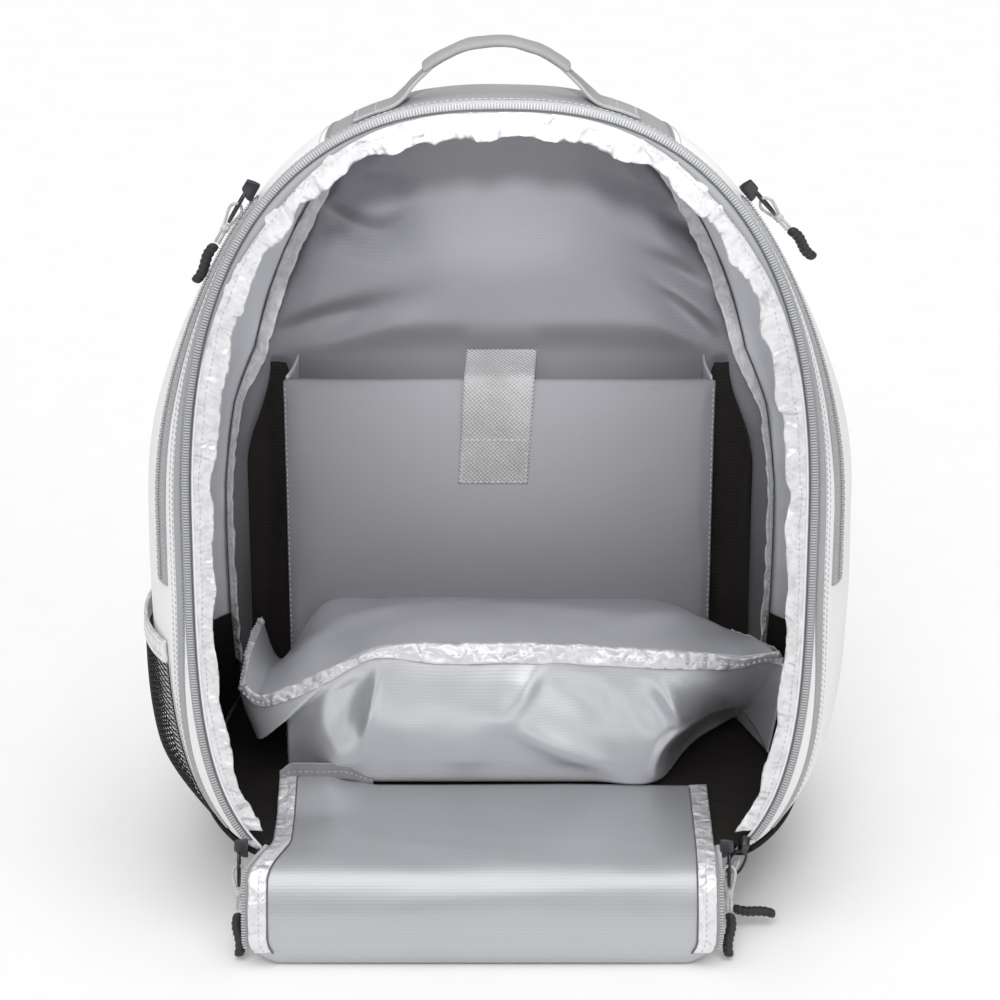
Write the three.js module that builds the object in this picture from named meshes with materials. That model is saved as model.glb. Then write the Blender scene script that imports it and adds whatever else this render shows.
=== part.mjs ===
// A sports backpack standing with its main compartment unzipped. The front panel is folded forward
// and doubled under the base, so the lining, the padded laptop sleeve and the shoe compartment show.
// Millimetres. X is to the right, Y towards the back, Z up from the underside of the base.
import * as THREE from 'three';

const { lerp, smoothstep } = THREE.MathUtils;

// Driving dimensions
const FOLD_HEIGHT = 45;
const DEPTH = { front: -100, back: 99, lean: 0.075 };
const RIM = {
  halfWidth: 162, midZ: 185, topRise: 221, bottomDrop: 210, topRound: 2.45, bottomRound: 3.8, endZ: 3.6,
};
const REAR = {
  halfWidth: 155, midZ: 90, topRise: 270, bottomDrop: 200, topRound: 2.6, bottomRound: 3.8, endZ: 3.6,
};
const BULGE = { side: 28, top: 3, falloff: 9, fullness: 0.75, taper: 1.5 };
const CLOTH = { panel: 2, lining: 1.2, gap: 0.75 };
const BASE = { thickness: 3, edge: 0.6, front: -99.6, liningInset: 6.4, liningFront: -97, liningBack: 84 };
const TOP_SEAM = { at: 0.41, gap: 0.0004 };
const LINING = {
  end: 87.6, back: 86.9, inset: 4.6, reach: 0.485, crowding: 0.85, foldsFrom: 222, foldsFull: 246,
};
const RIM_BINDING = { from: 0.014, to: 0.986, root: 5.4, edge: 17.5, setBack: 0.2, curl: 1.6, wave: 1.3 };
const BACK_PAD = { front: 88.4, back: 98.6 };
const SLEEVE = {
  left: -122, right: 121, top: 213, bottom: 5.4, front: 57, thickness: 7, back: 81, roundness: 5, bevel: 2.4,
  backingHalf: 138, backingLift: 2.1,
};
const GUSSET = {
  inset: 3, leftBack: -113, rightBack: 114, clear: 0.45, frontDrop: 1.5, backRise: 3, half: 0.5,
};
const STRAP = { width: 39, thickness: 1.6, drift: -5, middle: 1 };
const LOOP_PATCH = { width: 40, height: 46, thickness: 1, x: 1, z: 180, clear: 0.9 };
const HANDLE = {
  y: -48, width: 22, webbing: 1.8, lift: 0.8, middle: -1.5, gripHalf: 36, gripZ: 418, apexZ: 433,
  gripWidth: 13, thickness: 6,
};
const FRONT = {
  left: -121, right: 114, flare: 11.5, flareFrom: 0.42, flareTo: 0.62,
  wall: 1.6, corner: 16, cornerFrom: 0.86, cornerPower: 2.2,
};
const FRONT_BINDING = { width: 9.5, from: 0.005, to: 0.93, lift: 0.35, thickness: 0.9 };
const FRONT_ZIP = { from: 0.47, to: 0.92, near: 0.4, far: 2.6, half: 0.6 };
const FOLD = {
  hinge: -100.4, clear: 0.5, slitLow: -24, slitHigh: -21, tail: -72, tailRound: 9, tailZ: -11, turn: 78,
  foot: -108, hingeTop: 2.6, corner: 6, left: -130, right: 112, bevel: 6, bevelSize: 1.2,
};
const SIDE_ZIP = { from: 0.15, t0: 0.07, t1: 0.135, near: -0.5, far: -1.7, columns: 12 };
const POCKET = {
  from: 0.012, mouth: 0.104, bandGap: 0.0004, top: 0.117, t0: 0.15, t1: 0.84, seat: 0.5, fullness: 9.5,
  lean: 2.4, roundness: 0.8, net: 1, band: 1.6,
};
const SHOULDER = { width: 62, thickness: 11, webbing: 25 };
const PULL_X = 121;
const CORD = {
  diameter: 1.6, start: 9, waist: 18.75, knot: 24, mouth: 33, halfLoop: 3.2, halfWaist: 2.25, halfMouth: 1,
  lean: 0.75,
};
const GRIP = { length: 23.5, radius: 2.5, wave: 1, gap: 0.85, swell: 0.12, tipFrom: 0.95, tip: 0.62 };
const SLIDER = { width: 4, hole: 1.9, seatT: 0.1, seatDepth: -6.6 };
const WIRE = { radius: 0.75, halfWidth: 3.5, top: 2, bottom: 20, x: 0.8, shoulder: 3.4 };

// Materials
const cloth = (color, roughness = 0.8) => new THREE.MeshStandardMaterial({ color, roughness, metalness: 0 });
const polyester = cloth('#dcdddf', 0.85);
const topPolyester = cloth('#b4b5b8', 0.85);
const satin = cloth('#a9abb0', 0.45);
const brightSatin = cloth('#d3d5d9', 0.4);
const charcoal = cloth('#2a2829', 0.7);
const bindingTape = cloth('#e4e5e7', 0.5);
const webbing = cloth('#b9babb', 0.9);
const zipTape = cloth('#cfd0d2', 0.6);
const net = cloth('#232325', 0.8);
const cordYarn = cloth('#dadada', 0.85);
const rubber = cloth('#2b2b2c', 0.55);
const gunmetal = new THREE.MeshStandardMaterial({ color: '#3a3b3d', roughness: 0.35, metalness: 1 });

const bag = new THREE.Group();
bag.position.z = FOLD_HEIGHT;

function add(name, geometry, material, parent = bag) {
  const mesh = new THREE.Mesh(geometry, material);
  mesh.name = name;
  parent.add(mesh);
  return mesh;
}

// A closed body from its corners and triangles, turned so that its faces point outwards.
function body(points, triangles) {
  const cross = new THREE.Vector3();
  let volume = 0;
  for (const [a, b, c] of triangles) volume += points[a].dot(cross.crossVectors(points[b], points[c]));
  const faces = triangles.map(([a, b, c]) => (volume < 0 ? [a, c, b] : [a, b, c]));
  const geometry = new THREE.BufferGeometry().setFromPoints(points);
  geometry.setIndex(faces.flat());
  geometry.computeVertexNormals();
  return geometry;
}

// A wall of cloth: point(u, v, depth) on a grid at two depths, joined round the edge.
function sheet(point, columns, rows, near, far) {
  const across = columns + 1;
  const count = across * (rows + 1);
  const points = [];
  for (const depth of [near, far]) {
    for (let j = 0; j <= rows; j++) {
      for (let i = 0; i <= columns; i++) points.push(point(i / columns, j / rows, depth));
    }
  }
  const triangles = [];
  const quad = (a, b, c, d) => triangles.push([a, b, c], [a, c, d]);
  for (let j = 0; j < rows; j++) {
    for (let i = 0; i < columns; i++) {
      const a = j * across + i;
      quad(a, a + 1, a + across + 1, a + across);
      quad(count + a, count + a + across, count + a + across + 1, count + a + 1);
    }
  }
  const edge = [];
  for (let i = 0; i < columns; i++) edge.push(i);
  for (let j = 0; j < rows; j++) edge.push(j * across + columns);
  for (let i = columns; i > 0; i--) edge.push(rows * across + i);
  for (let j = rows; j > 0; j--) edge.push(j * across);
  edge.forEach((a, k) => {
    const b = edge[(k + 1) % edge.length];
    quad(b, a, a + count, b + count);
  });
  return body(points, triangles);
}

// Gives a surface its depth along its own normal.
function thick(surface, step = 0.004) {
  return (u, v, depth) => {
    const along = surface(Math.min(1, u + step), v).sub(surface(Math.max(0, u - step), v));
    const across = surface(u, Math.min(1, v + step)).sub(surface(u, Math.max(0, v - step)));
    return surface(u, v).addScaledVector(along.cross(across).normalize(), depth);
  };
}

// A solid rod round a curve, with its own radius at each step.
function rod(curve, radiusAt, steps, sides) {
  const frames = curve.computeFrenetFrames(steps, false);
  const points = [];
  for (let k = 0; k <= steps; k++) {
    const centre = curve.getPointAt(k / steps);
    for (let i = 0; i < sides; i++) {
      const angle = (2 * Math.PI * i) / sides;
      points.push(centre.clone()
        .addScaledVector(frames.normals[k], Math.cos(angle) * radiusAt(k / steps))
        .addScaledVector(frames.binormals[k], Math.sin(angle) * radiusAt(k / steps)));
    }
  }
  const triangles = [];
  for (let k = 0; k < steps; k++) {
    for (let i = 0; i < sides; i++) {
      const a = k * sides + i;
      const b = k * sides + ((i + 1) % sides);
      triangles.push([a, b, b + sides], [a, b + sides, a + sides]);
    }
  }
  for (let i = 1; i < sides - 1; i++) {
    triangles.push([0, i + 1, i], [steps * sides, steps * sides + i, steps * sides + i + 1]);
  }
  return body(points, triangles);
}

const vector = (x, y, z) => new THREE.Vector3(x, y, z);
const smoothCurve = (points, closed = false) => new THREE.CatmullRomCurve3(points, closed, 'catmullrom', 0.5);

// Reads a column of a table between its rows, smoothly.
function column(rows, name) {
  const line = new THREE.SplineCurve(rows.map((row, i) => new THREE.Vector2(i, row[name])));
  return (t) => line.getPoint(t).y;
}

// The arched outline of the opening or of the back, from its lower left end to its lower right end.
class Arch extends THREE.Curve {
  constructor(shape) {
    super();
    this.shape = shape;
    this.low = -Math.asin(((shape.midZ - shape.endZ) / shape.bottomDrop) ** (shape.bottomRound / 2));
    this.arcLengthDivisions = 1200;
  }

  getPoint(t, target = new THREE.Vector3()) {
    const angle = lerp(this.low, Math.PI - this.low, t);
    const [across, up] = [Math.cos(angle), Math.sin(angle)];
    const { halfWidth, midZ, topRise, bottomDrop, topRound, bottomRound } = this.shape;
    const power = 2 / (up > 0 ? topRound : bottomRound);
    const rise = up > 0 ? topRise : bottomDrop;
    const x = -Math.sign(across) * halfWidth * Math.abs(across) ** power;
    return target.set(x, 0, midZ + Math.sign(up) * rise * Math.abs(up) ** power);
  }
}

const rim = new Arch(RIM);
const rear = new Arch(REAR);

// The direction out of the bag at a place s along the arch.
function outward(s) {
  const edge = rim.getPointAt(s);
  return vector(edge.x / RIM.halfWidth, 0, Math.max(0, (edge.z - RIM.midZ) / RIM.topRise)).normalize();
}

// The bag's wall: s runs along the arch, t from the opening to the back, and depth inwards from the outside.
function shell(s, t, depth) {
  const edge = rim.getPointAt(s);
  const point = edge.clone().lerp(rear.getPointAt(s), t ** BULGE.taper);
  const out = outward(s);
  const swell = lerp(BULGE.top, BULGE.side, Math.abs(out.x) ** BULGE.falloff);
  point.addScaledVector(out, swell * Math.sin(Math.PI * t ** BULGE.fullness) - depth);
  point.y = lerp(DEPTH.front + DEPTH.lean * edge.z, DEPTH.back, t);
  return point;
}

const shellDepthAt = (y) => (y - DEPTH.front) / (DEPTH.back - DEPTH.front);

// The place along the arch whose edge lies at x, near the top.
function archAt(x) {
  let [low, high] = [0.3, 0.7];
  for (let k = 0; k < 30; k++) {
    const middle = (low + high) / 2;
    if (rim.getPointAt(middle).x < x) low = middle;
    else high = middle;
  }
  return low;
}

// Outer panels and linings
function patch(s0, s1, t0, t1, columns, rows, near, far) {
  return sheet((u, v, depth) => shell(lerp(s0, s1, u), lerp(t0, t1, v), depth), columns, rows, near, far);
}

// A lining keeps to the grid of its panel, so that the two stay parallel, and stops short of the back.
function liningPatch(s0, s1, columns, rows, near, far) {
  const end = shellDepthAt(LINING.end);
  return sheet((u, v, depth) => shell(lerp(s0, s1, u), Math.min(end, v), depth), columns, rows, near, far);
}

function walls() {
  const rows = 7;
  const { at, gap } = TOP_SEAM;
  const near = CLOTH.panel + CLOTH.gap;
  const spans = [
    { side: 'side', suffix: '_left', from: 0, to: at - gap, columns: 14, material: polyester },
    { side: 'top', suffix: '', from: at, to: 1 - at, columns: 6, material: topPolyester },
    { side: 'side', suffix: '_right', from: 1 - at + gap, to: 1, columns: 14, material: polyester },
  ];
  for (const { side, suffix, from, to, columns, material } of spans) {
    add(`${side}_panel${suffix}`, patch(from, to, 0, 1, columns, rows, 0, CLOTH.panel), material);
    add(`${side}_lining${suffix}`, liningPatch(from, to, columns, rows, near, near + CLOTH.lining), satin);
  }
}

// A flat plate lying on the base, its sides following the wall at a depth.
function basePlate(depth, yFront, yBack, bottom, thickness) {
  const steps = 8;
  const outline = [];
  for (let k = 0; k <= steps; k++) {
    const t = lerp(Math.max(0, shellDepthAt(yFront)), shellDepthAt(yBack), k / steps);
    outline.push(new THREE.Vector2(shell(1, t, depth).x, lerp(yFront, yBack, k / steps)));
  }
  const mirrored = outline.map((p) => new THREE.Vector2(-p.x, p.y)).reverse();
  const plate = new THREE.ExtrudeGeometry(new THREE.Shape([...outline, ...mirrored]), {
    depth: thickness, bevelEnabled: false,
  });
  return plate.translate(0, 0, bottom);
}

function base() {
  const { thickness, edge, front, liningInset, liningFront, liningBack } = BASE;
  add('base_panel', basePlate(-edge, front, DEPTH.back, 0, thickness), charcoal);
  const liningZ = thickness + CLOTH.gap;
  add('base_lining', basePlate(liningInset, liningFront, liningBack, liningZ, CLOTH.lining), charcoal);
}

function backPad() {
  const steps = 30;
  const outline = [];
  for (let k = 0; k <= steps; k++) {
    const edge = shell(k / steps, 1, CLOTH.panel + CLOTH.gap);
    outline.push(new THREE.Vector2(edge.x, edge.z));
  }
  const pad = new THREE.ExtrudeGeometry(new THREE.Shape(outline), {
    depth: BACK_PAD.back - BACK_PAD.front, bevelEnabled: false,
  });
  add('back_panel', pad.rotateX(Math.PI / 2).translate(0, BACK_PAD.back, 0), polyester);
}

// Soft folds that spread over the back lining from the rear seams.
const LINING_FOLDS = [
  { x: -112, z: 262, turn: -22, length: 70, width: 9, height: 3.4 },
  { x: -92, z: 296, turn: -34, length: 62, width: 8, height: 3 },
  { x: -118, z: 232, turn: -8, length: 80, width: 7, height: 2.2 },
  { x: 112, z: 268, turn: 24, length: 74, width: 9, height: 3.4 },
  { x: 96, z: 300, turn: 38, length: 60, width: 8, height: 3 },
  { x: 116, z: 236, turn: 12, length: 84, width: 8, height: 2.4 },
];

function foldRelief(x, z) {
  let relief = 0;
  for (const fold of LINING_FOLDS) {
    const turn = THREE.MathUtils.degToRad(fold.turn);
    const along = (x - fold.x) * Math.cos(turn) + (z - fold.z) * Math.sin(turn);
    const across = (z - fold.z) * Math.cos(turn) - (x - fold.x) * Math.sin(turn);
    relief += fold.height * Math.exp(-((along / fold.length) ** 2) * 2 - (across / fold.width) ** 2);
  }
  return relief;
}

function backLining() {
  const { back, inset, reach, crowding, foldsFrom, foldsFull } = LINING;
  const point = (u, v, depth) => {
    const s = reach * v ** crowding;
    const left = shell(s, shellDepthAt(back), inset);
    const right = shell(1 - s, shellDepthAt(back), inset);
    const spot = left.lerp(right, u);
    spot.y = back - depth - foldRelief(spot.x, spot.z) * smoothstep(spot.z, foldsFrom, foldsFull);
    return spot;
  };
  add('back_lining', sheet(point, 12, 9, 0, CLOTH.lining), satin);
}

// The bound edge strips of the opening and of the rear seams
const ZIP_ENDS = { from: 0.008, to: 0.992 };
const ZIP_SECTION = [
  { t: 0, frontR: -7.5, frontY: -1.1, backR: -7.5, backY: -0.3 },
  { t: 0, frontR: -1.9, frontY: -1.1, backR: -1.9, backY: -0.3 },
  { t: 0, frontR: 0.2, frontY: -2.6, backR: 0.2, backY: -0.3 },
  { t: 0, frontR: 2.6, frontY: -1, backR: 1.4, backY: -0.3 },
  { t: 0.04, frontR: 1.9, frontY: -0.8, backR: 0.8, backY: 0 },
];

function mainZip() {
  const names = ['t', 'frontR', 'frontY', 'backR', 'backY'];
  const point = (u, v, depth) => {
    const row = ZIP_SECTION[Math.round(v * (ZIP_SECTION.length - 1))];
    const [t, frontR, frontY, backR, backY] = names.map((name) => row[name]);
    const spot = shell(lerp(ZIP_ENDS.from, ZIP_ENDS.to, u), t, -lerp(frontR, backR, depth));
    spot.y += lerp(frontY, backY, depth);
    return spot;
  };
  add('main_zip', sheet(point, 34, ZIP_SECTION.length - 1, 0, 1), zipTape);
}

// The opening's binding: a satin strip whose free edge is gathered into small ruffles.
const RUFFLES = [{ turns: 24, height: 0.6, start: 0 }, { turns: 10.7, height: 0.4, start: 1 }];

function ruffle(s) {
  return RUFFLES.reduce((sum, { turns, height, start }) => (
    sum + height * Math.sin(2 * Math.PI * turns * s + start)), 0);
}

function rimBinding() {
  const { from, to, root, edge, setBack, curl, wave } = RIM_BINDING;
  const edgeShift = 0.4;
  const point = (u, v, depth) => {
    const s = lerp(from, to, u);
    const spot = shell(s, 0, lerp(root, edge + curl * ruffle(s + edgeShift), v));
    spot.y += setBack + depth + v * (curl + wave * ruffle(s));
    return spot;
  };
  add('rim_binding', sheet(point, 58, 1, 0, CLOTH.lining), bindingTape);
}

const SEAM_STRIPS = [
  { name: 'rear_binding_left', from: 0.03, to: 0.395, rootY: 81, rootDepth: 5.5, edgeY: 75, columns: 16 },
  { name: 'rear_binding_right', from: 0.605, to: 0.97, rootY: 81, rootDepth: 5.5, edgeY: 75, columns: 16 },
  { name: 'seam_binding_right', from: 0.62, to: 0.93, rootY: 22, rootDepth: 5.4, edgeY: 18, columns: 14 },
];
const SEAM_EDGE = { depth: 12, pucker: 0.8, turns: 6.5 };

function seamBindings() {
  for (const { name, from, to, rootY, rootDepth, edgeY, columns } of SEAM_STRIPS) {
    const point = (u, v, depth) => {
      const pucker = SEAM_EDGE.pucker * Math.sin(2 * Math.PI * SEAM_EDGE.turns * u) * v;
      const t = shellDepthAt(lerp(rootY, edgeY, v));
      const spot = shell(lerp(from, to, u), t, lerp(rootDepth, SEAM_EDGE.depth + pucker, v));
      spot.y += depth;
      return spot;
    };
    add(name, sheet(point, columns, 1, 0, CLOTH.lining), bindingTape);
  }
}

// The laptop sleeve
const BACKING_RIDGES = [{ spacing: 15, height: 0.36, start: 0 }, { spacing: 27, height: 0.24, start: 1 }];

function sleeve() {
  const { left, right, top, bottom, front, thickness, back, roundness, bevel } = SLEEVE;
  const { backingHalf, backingLift } = SLEEVE;
  const ridges = (x) => BACKING_RIDGES.reduce((sum, { spacing, height, start }) => (
    sum + height * Math.sin((2 * Math.PI * x) / spacing + start)), 0);
  const backing = (u, v, depth) => {
    const x = lerp(-backingHalf, backingHalf, u);
    return vector(x, back + backingLift - depth - ridges(x), lerp(bottom, top, v));
  };
  add('sleeve_backing', sheet(backing, 18, 1, 0, 1), charcoal);

  const face = new THREE.Shape();
  face.moveTo(left, bottom).lineTo(right, bottom).lineTo(right, top - roundness);
  face.quadraticCurveTo(right, top, right - roundness, top).lineTo(left + roundness, top);
  face.quadraticCurveTo(left, top, left, top - roundness);
  const panel = new THREE.ExtrudeGeometry(face, {
    depth: thickness - 2 * bevel, curveSegments: 3,
    bevelEnabled: true, bevelThickness: bevel, bevelSize: bevel, bevelOffset: -bevel, bevelSegments: 2,
  });
  add('sleeve_panel', panel.rotateX(Math.PI / 2).translate(0, front + thickness - bevel, 0), satin);

  const { inset, leftBack, rightBack, clear, frontDrop, backRise, half } = GUSSET;
  for (const [name, x, toX] of [['left', left + inset, leftBack], ['right', right - inset, rightBack]]) {
    const gusset = (u, v, depth) => {
      const y = lerp(front + thickness + clear, back - clear, u);
      return vector(lerp(x, toX, u) + depth, y, lerp(bottom, top + lerp(-frontDrop, backRise, u), v));
    };
    add(`sleeve_gusset_${name}`, sheet(gusset, 2, 4, -half, half), satin);
  }
}

const STRAP_ROUTE = [
  { y: 80.6, z: 222 }, { y: 72, z: 219 }, { y: 63, z: 216.4 }, { y: 57, z: 214 },
  { y: 54.8, z: 208 }, { y: 54.4, z: 196 }, { y: 54.4, z: 174 }, { y: 54.2, z: 151 },
];

function sleeveStrap() {
  const route = smoothCurve(STRAP_ROUTE.map(({ y, z }) => vector(0, y, z)));
  const ribbon = (u, v) => {
    const spot = route.getPointAt(v);
    spot.x = STRAP.middle + STRAP.drift * v + (u - 0.5) * STRAP.width;
    return spot;
  };
  add('sleeve_strap', sheet(thick(ribbon), 2, 14, -STRAP.thickness / 2, STRAP.thickness / 2), webbing);
  const { width, height, thickness, x, z, clear } = LOOP_PATCH;
  const loopPatch = new THREE.BoxGeometry(width, thickness, height);
  add('sleeve_patch', loopPatch.translate(x, SLEEVE.front - clear, z), charcoal);
}

// The shoe compartment: a section for each place along its front ridge, from left to right.
const DIVIDER_SECTIONS = [
  { ridgeX: -134, ridgeY: -6, ridgeZ: 12, footX: -122, footY: -22, backX: -128, backZ: 10, puff: 1 },
  { ridgeX: -141, ridgeY: -15, ridgeZ: 58, footX: -120, footY: -28, backX: -133, backZ: 62, puff: 2 },
  { ridgeX: -126, ridgeY: -25, ridgeZ: 54, footX: -116, footY: -32, backX: -124, backZ: 72, puff: 2 },
  { ridgeX: -98, ridgeY: -25, ridgeZ: 66, footX: -96, footY: -33, backX: -98, backZ: 76, puff: 8 },
  { ridgeX: -66, ridgeY: -23, ridgeZ: 84, footX: -66, footY: -33, backX: -66, backZ: 80, puff: 12 },
  { ridgeX: -27, ridgeY: -22, ridgeZ: 87, footX: -28, footY: -33, backX: -28, backZ: 81, puff: 13 },
  { ridgeX: 14, ridgeY: -22, ridgeZ: 84, footX: 12, footY: -33, backX: 14, backZ: 80, puff: 14 },
  { ridgeX: 54, ridgeY: -22, ridgeZ: 81, footX: 50, footY: -33, backX: 54, backZ: 79, puff: 11 },
  { ridgeX: 96, ridgeY: -22, ridgeZ: 77, footX: 84, footY: -32, backX: 90, backZ: 77, puff: 13 },
  { ridgeX: 130, ridgeY: -22, ridgeZ: 74, footX: 102, footY: -30, backX: 118, backZ: 76, puff: 4 },
  { ridgeX: 154, ridgeY: -19, ridgeZ: 71, footX: 112, footY: -25, backX: 136, backZ: 74, puff: 2 },
  { ridgeX: 150, ridgeY: -8, ridgeZ: 14, footX: 118, footY: -18, backX: 132, backZ: 12, puff: 1 },
];
const DIVIDER = { back: 55.4, foot: 6, crown: 5, wall: 1.2, sag: 0.8 };
const dividerColumn = {};
for (const name of Object.keys(DIVIDER_SECTIONS[0])) dividerColumn[name] = column(DIVIDER_SECTIONS, name);

// v runs from the back edge over the ridge, at one half, to the foot of the front.
function dividerSurface(u, v) {
  const at = (name) => dividerColumn[name](u);
  const ridge = vector(at('ridgeX'), at('ridgeY'), at('ridgeZ'));
  if (v <= 0.5) {
    const k = v * 2;
    const back = vector(at('backX'), DIVIDER.back, at('backZ'));
    return back.lerp(ridge, k).add(vector(0, 0, DIVIDER.crown * Math.sin(Math.PI * k)));
  }
  const k = v * 2 - 1;
  const foot = vector(at('footX'), at('footY'), DIVIDER.foot);
  return ridge.lerp(foot, k).add(vector(0, -at('puff') * Math.sin(Math.PI * k ** DIVIDER.sag), 0));
}

// The binding runs forward along the left corner, across the ridge and back along the right corner.
const DIVIDER_BINDING = [
  { u: 0.1, v: 0.24 }, { u: 0.096, v: 0.4 }, { u: 0.13, v: 0.505 },
  { u: 0.3, v: 0.505 }, { u: 0.5, v: 0.505 }, { u: 0.7, v: 0.505 },
  { u: 0.875, v: 0.505 }, { u: 0.911, v: 0.4 }, { u: 0.905, v: 0.2 },
];
const DIVIDER_STRIP = { side: 0.022, front: 0.058, near: 0.75, far: 1.75 };

function shoeCompartment() {
  const half = DIVIDER.wall / 2;
  const surface = thick(dividerSurface);
  add('shoe_divider', sheet(surface, 18, 10, -half, half), brightSatin);

  const { side, front, near, far } = DIVIDER_STRIP;
  const route = smoothCurve(DIVIDER_BINDING.map(({ u, v }) => vector(u, v, 0)));
  const point = (w, c, depth) => {
    const spot = route.getPoint(w);
    const heading = route.getTangent(w);
    return surface(spot.x + heading.y * side * c, spot.y + heading.x * front * c, depth);
  };
  add('divider_binding', sheet(point, 40, 1, -half - near, -half - far), bindingTape);
}

// The front panel: its lining comes out over the base's front edge, turns down and is doubled under the base.
const FRONT_ROUTE = [
  { y: -39, z: 5.9 }, { y: -70, z: 6 }, { y: -98, z: 6.6 }, { y: -114, z: 5.2 }, { y: -126, z: -1 },
  { y: -132, z: -12 }, { y: -133, z: -27 }, { y: -130, z: -38 }, { y: -123, z: -43.6 },
];
const frontRoute = smoothCurve(FRONT_ROUTE.map(({ y, z }) => vector(0, y, z)));

function frontSurface(u, v) {
  const { left, right, flare, flareFrom, flareTo, corner, cornerFrom, cornerPower } = FRONT;
  const rounding = corner * Math.max(0, (v - cornerFrom) / (1 - cornerFrom)) ** cornerPower;
  const spot = frontRoute.getPointAt(v);
  spot.x = lerp(left - flare * smoothstep(v, flareFrom, flareTo) + rounding, right - rounding, u);
  return spot;
}

function frontPanel() {
  const half = FRONT.wall / 2;
  const skin = thick(frontSurface);
  add('front_lining', sheet(skin, 4, 22, -half, half), brightSatin);

  const width = FRONT_BINDING.width / (FRONT.right - FRONT.left);
  const near = -half - FRONT_BINDING.lift;
  for (const [name, edge, inward] of [['left', 0, 1], ['right', 1, -1]]) {
    const binding = (u, v, depth) => (
      skin(edge + inward * width * u, lerp(FRONT_BINDING.from, FRONT_BINDING.to, v), depth));
    const strip = sheet(binding, 1, 20, near, near - FRONT_BINDING.thickness);
    add(`front_binding_${name}`, strip, bindingTape);
    const zip = (u, v, depth) => {
      const spot = skin(edge, lerp(FRONT_ZIP.from, FRONT_ZIP.to, v), depth);
      spot.x -= inward * lerp(FRONT_ZIP.near, FRONT_ZIP.far, u);
      return spot;
    };
    add(`front_zip_${name}`, sheet(zip, 1, 12, -FRONT_ZIP.half, FRONT_ZIP.half), zipTape);
  }
  foldedPanel();
}

// Control points of the panel's nose, from the base's front edge down to the floor.
const NOSE_TOP = [{ y: -112, z: 4 }, { y: -123, z: 1 }, { y: -130, z: -12 }];
const NOSE_FRONT = [{ y: -131.6, z: -22 }, { y: -130, z: -36 }, { y: -120, z: -41.4 }];

// The padded panel doubled under the base, in side view: lower layer, turn, upper layer and nose.
function foldedPanel() {
  const { hinge, clear, slitLow, slitHigh, tail, tailRound, tailZ, turn, foot, hingeTop, corner } = FOLD;
  const { left, right, bevel, bevelSize } = FOLD;
  const [floor, top] = [-FOLD_HEIGHT, -clear];
  const side = new THREE.Shape();
  side.moveTo(foot, floor).lineTo(turn, floor);
  side.absarc(turn, (floor + top) / 2, (top - floor) / 2, -Math.PI / 2, Math.PI / 2, false);
  side.lineTo(tail, top).quadraticCurveTo(tail - tailRound, top, tail - tailRound, tailZ);
  side.quadraticCurveTo(tail - tailRound, slitHigh, tail, slitHigh);
  side.lineTo(turn, slitHigh).lineTo(turn, slitLow).lineTo(hinge + corner, slitLow);
  side.quadraticCurveTo(hinge, slitLow, hinge, slitLow + corner).lineTo(hinge, hingeTop);
  for (const curve of [NOSE_TOP, NOSE_FRONT]) side.bezierCurveTo(...curve.flatMap(({ y, z }) => [y, z]));
  side.lineTo(foot, floor);
  const panel = new THREE.ExtrudeGeometry(side, {
    depth: right - left - 2 * bevel, curveSegments: 6, bevelEnabled: true,
    bevelThickness: bevel, bevelSize, bevelOffset: -bevelSize, bevelSegments: 1,
  });
  panel.applyMatrix4(new THREE.Matrix4().makeBasis(vector(0, 1, 0), vector(0, 0, 1), vector(1, 0, 0)));
  add('front_panel', panel.translate(left + bevel, 0, 0), polyester);
}

// Side pocket zips and the net pocket on the outside of the side panels
function sidePockets() {
  const { from, t0, t1, near, far, columns } = SIDE_ZIP;
  const to = archAt(-PULL_X);
  add('side_zip_left', patch(from, to, t0, t1, columns, 1, near, far), zipTape);
  add('side_zip_right', patch(1 - to, 1 - from, t0, t1, columns, 1, near, far), zipTape);

  const { mouth, top, bandGap, seat, fullness, lean, roundness } = POCKET;
  const standOff = (u, rise) => (
    seat + fullness * Math.sin(Math.PI * u ** lean) ** roundness * Math.sin((Math.PI / 2) * rise));
  const wall = (s0, s1, thickness) => (v, u, depth) => {
    const s = lerp(s0, s1, v);
    const rise = (s - POCKET.from) / (top - POCKET.from);
    return shell(s, lerp(POCKET.t0, POCKET.t1, u), -standOff(u, rise) - depth * thickness);
  };
  add('mesh_pocket', sheet(wall(POCKET.from, mouth, POCKET.net), 5, 9, 0, 1), net);
  add('mesh_pocket_band', sheet(wall(mouth + bandGap, top, POCKET.band), 1, 9, 0, 1), bindingTape);
}

// The carrying handle on the top panel: distances from its middle, heights over the panel or under the grip.
const HANDLE_FOOT = [72, 62, 53];
const HANDLE_RISE = [{ out: 47, overTop: 3 }, { out: 42, underGrip: 7 }, { out: 36.6, underGrip: 0.4 }];
const HANDLE_SLOPE = { from: 0.4, to: 0.6 };

// The height of the top panel under a place.
function topZ(x, y) {
  const s = archAt(x);
  const yFront = shell(s, 0, 0).y;
  return shell(s, (y - yFront) / (DEPTH.back - yFront), 0).z;
}

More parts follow.
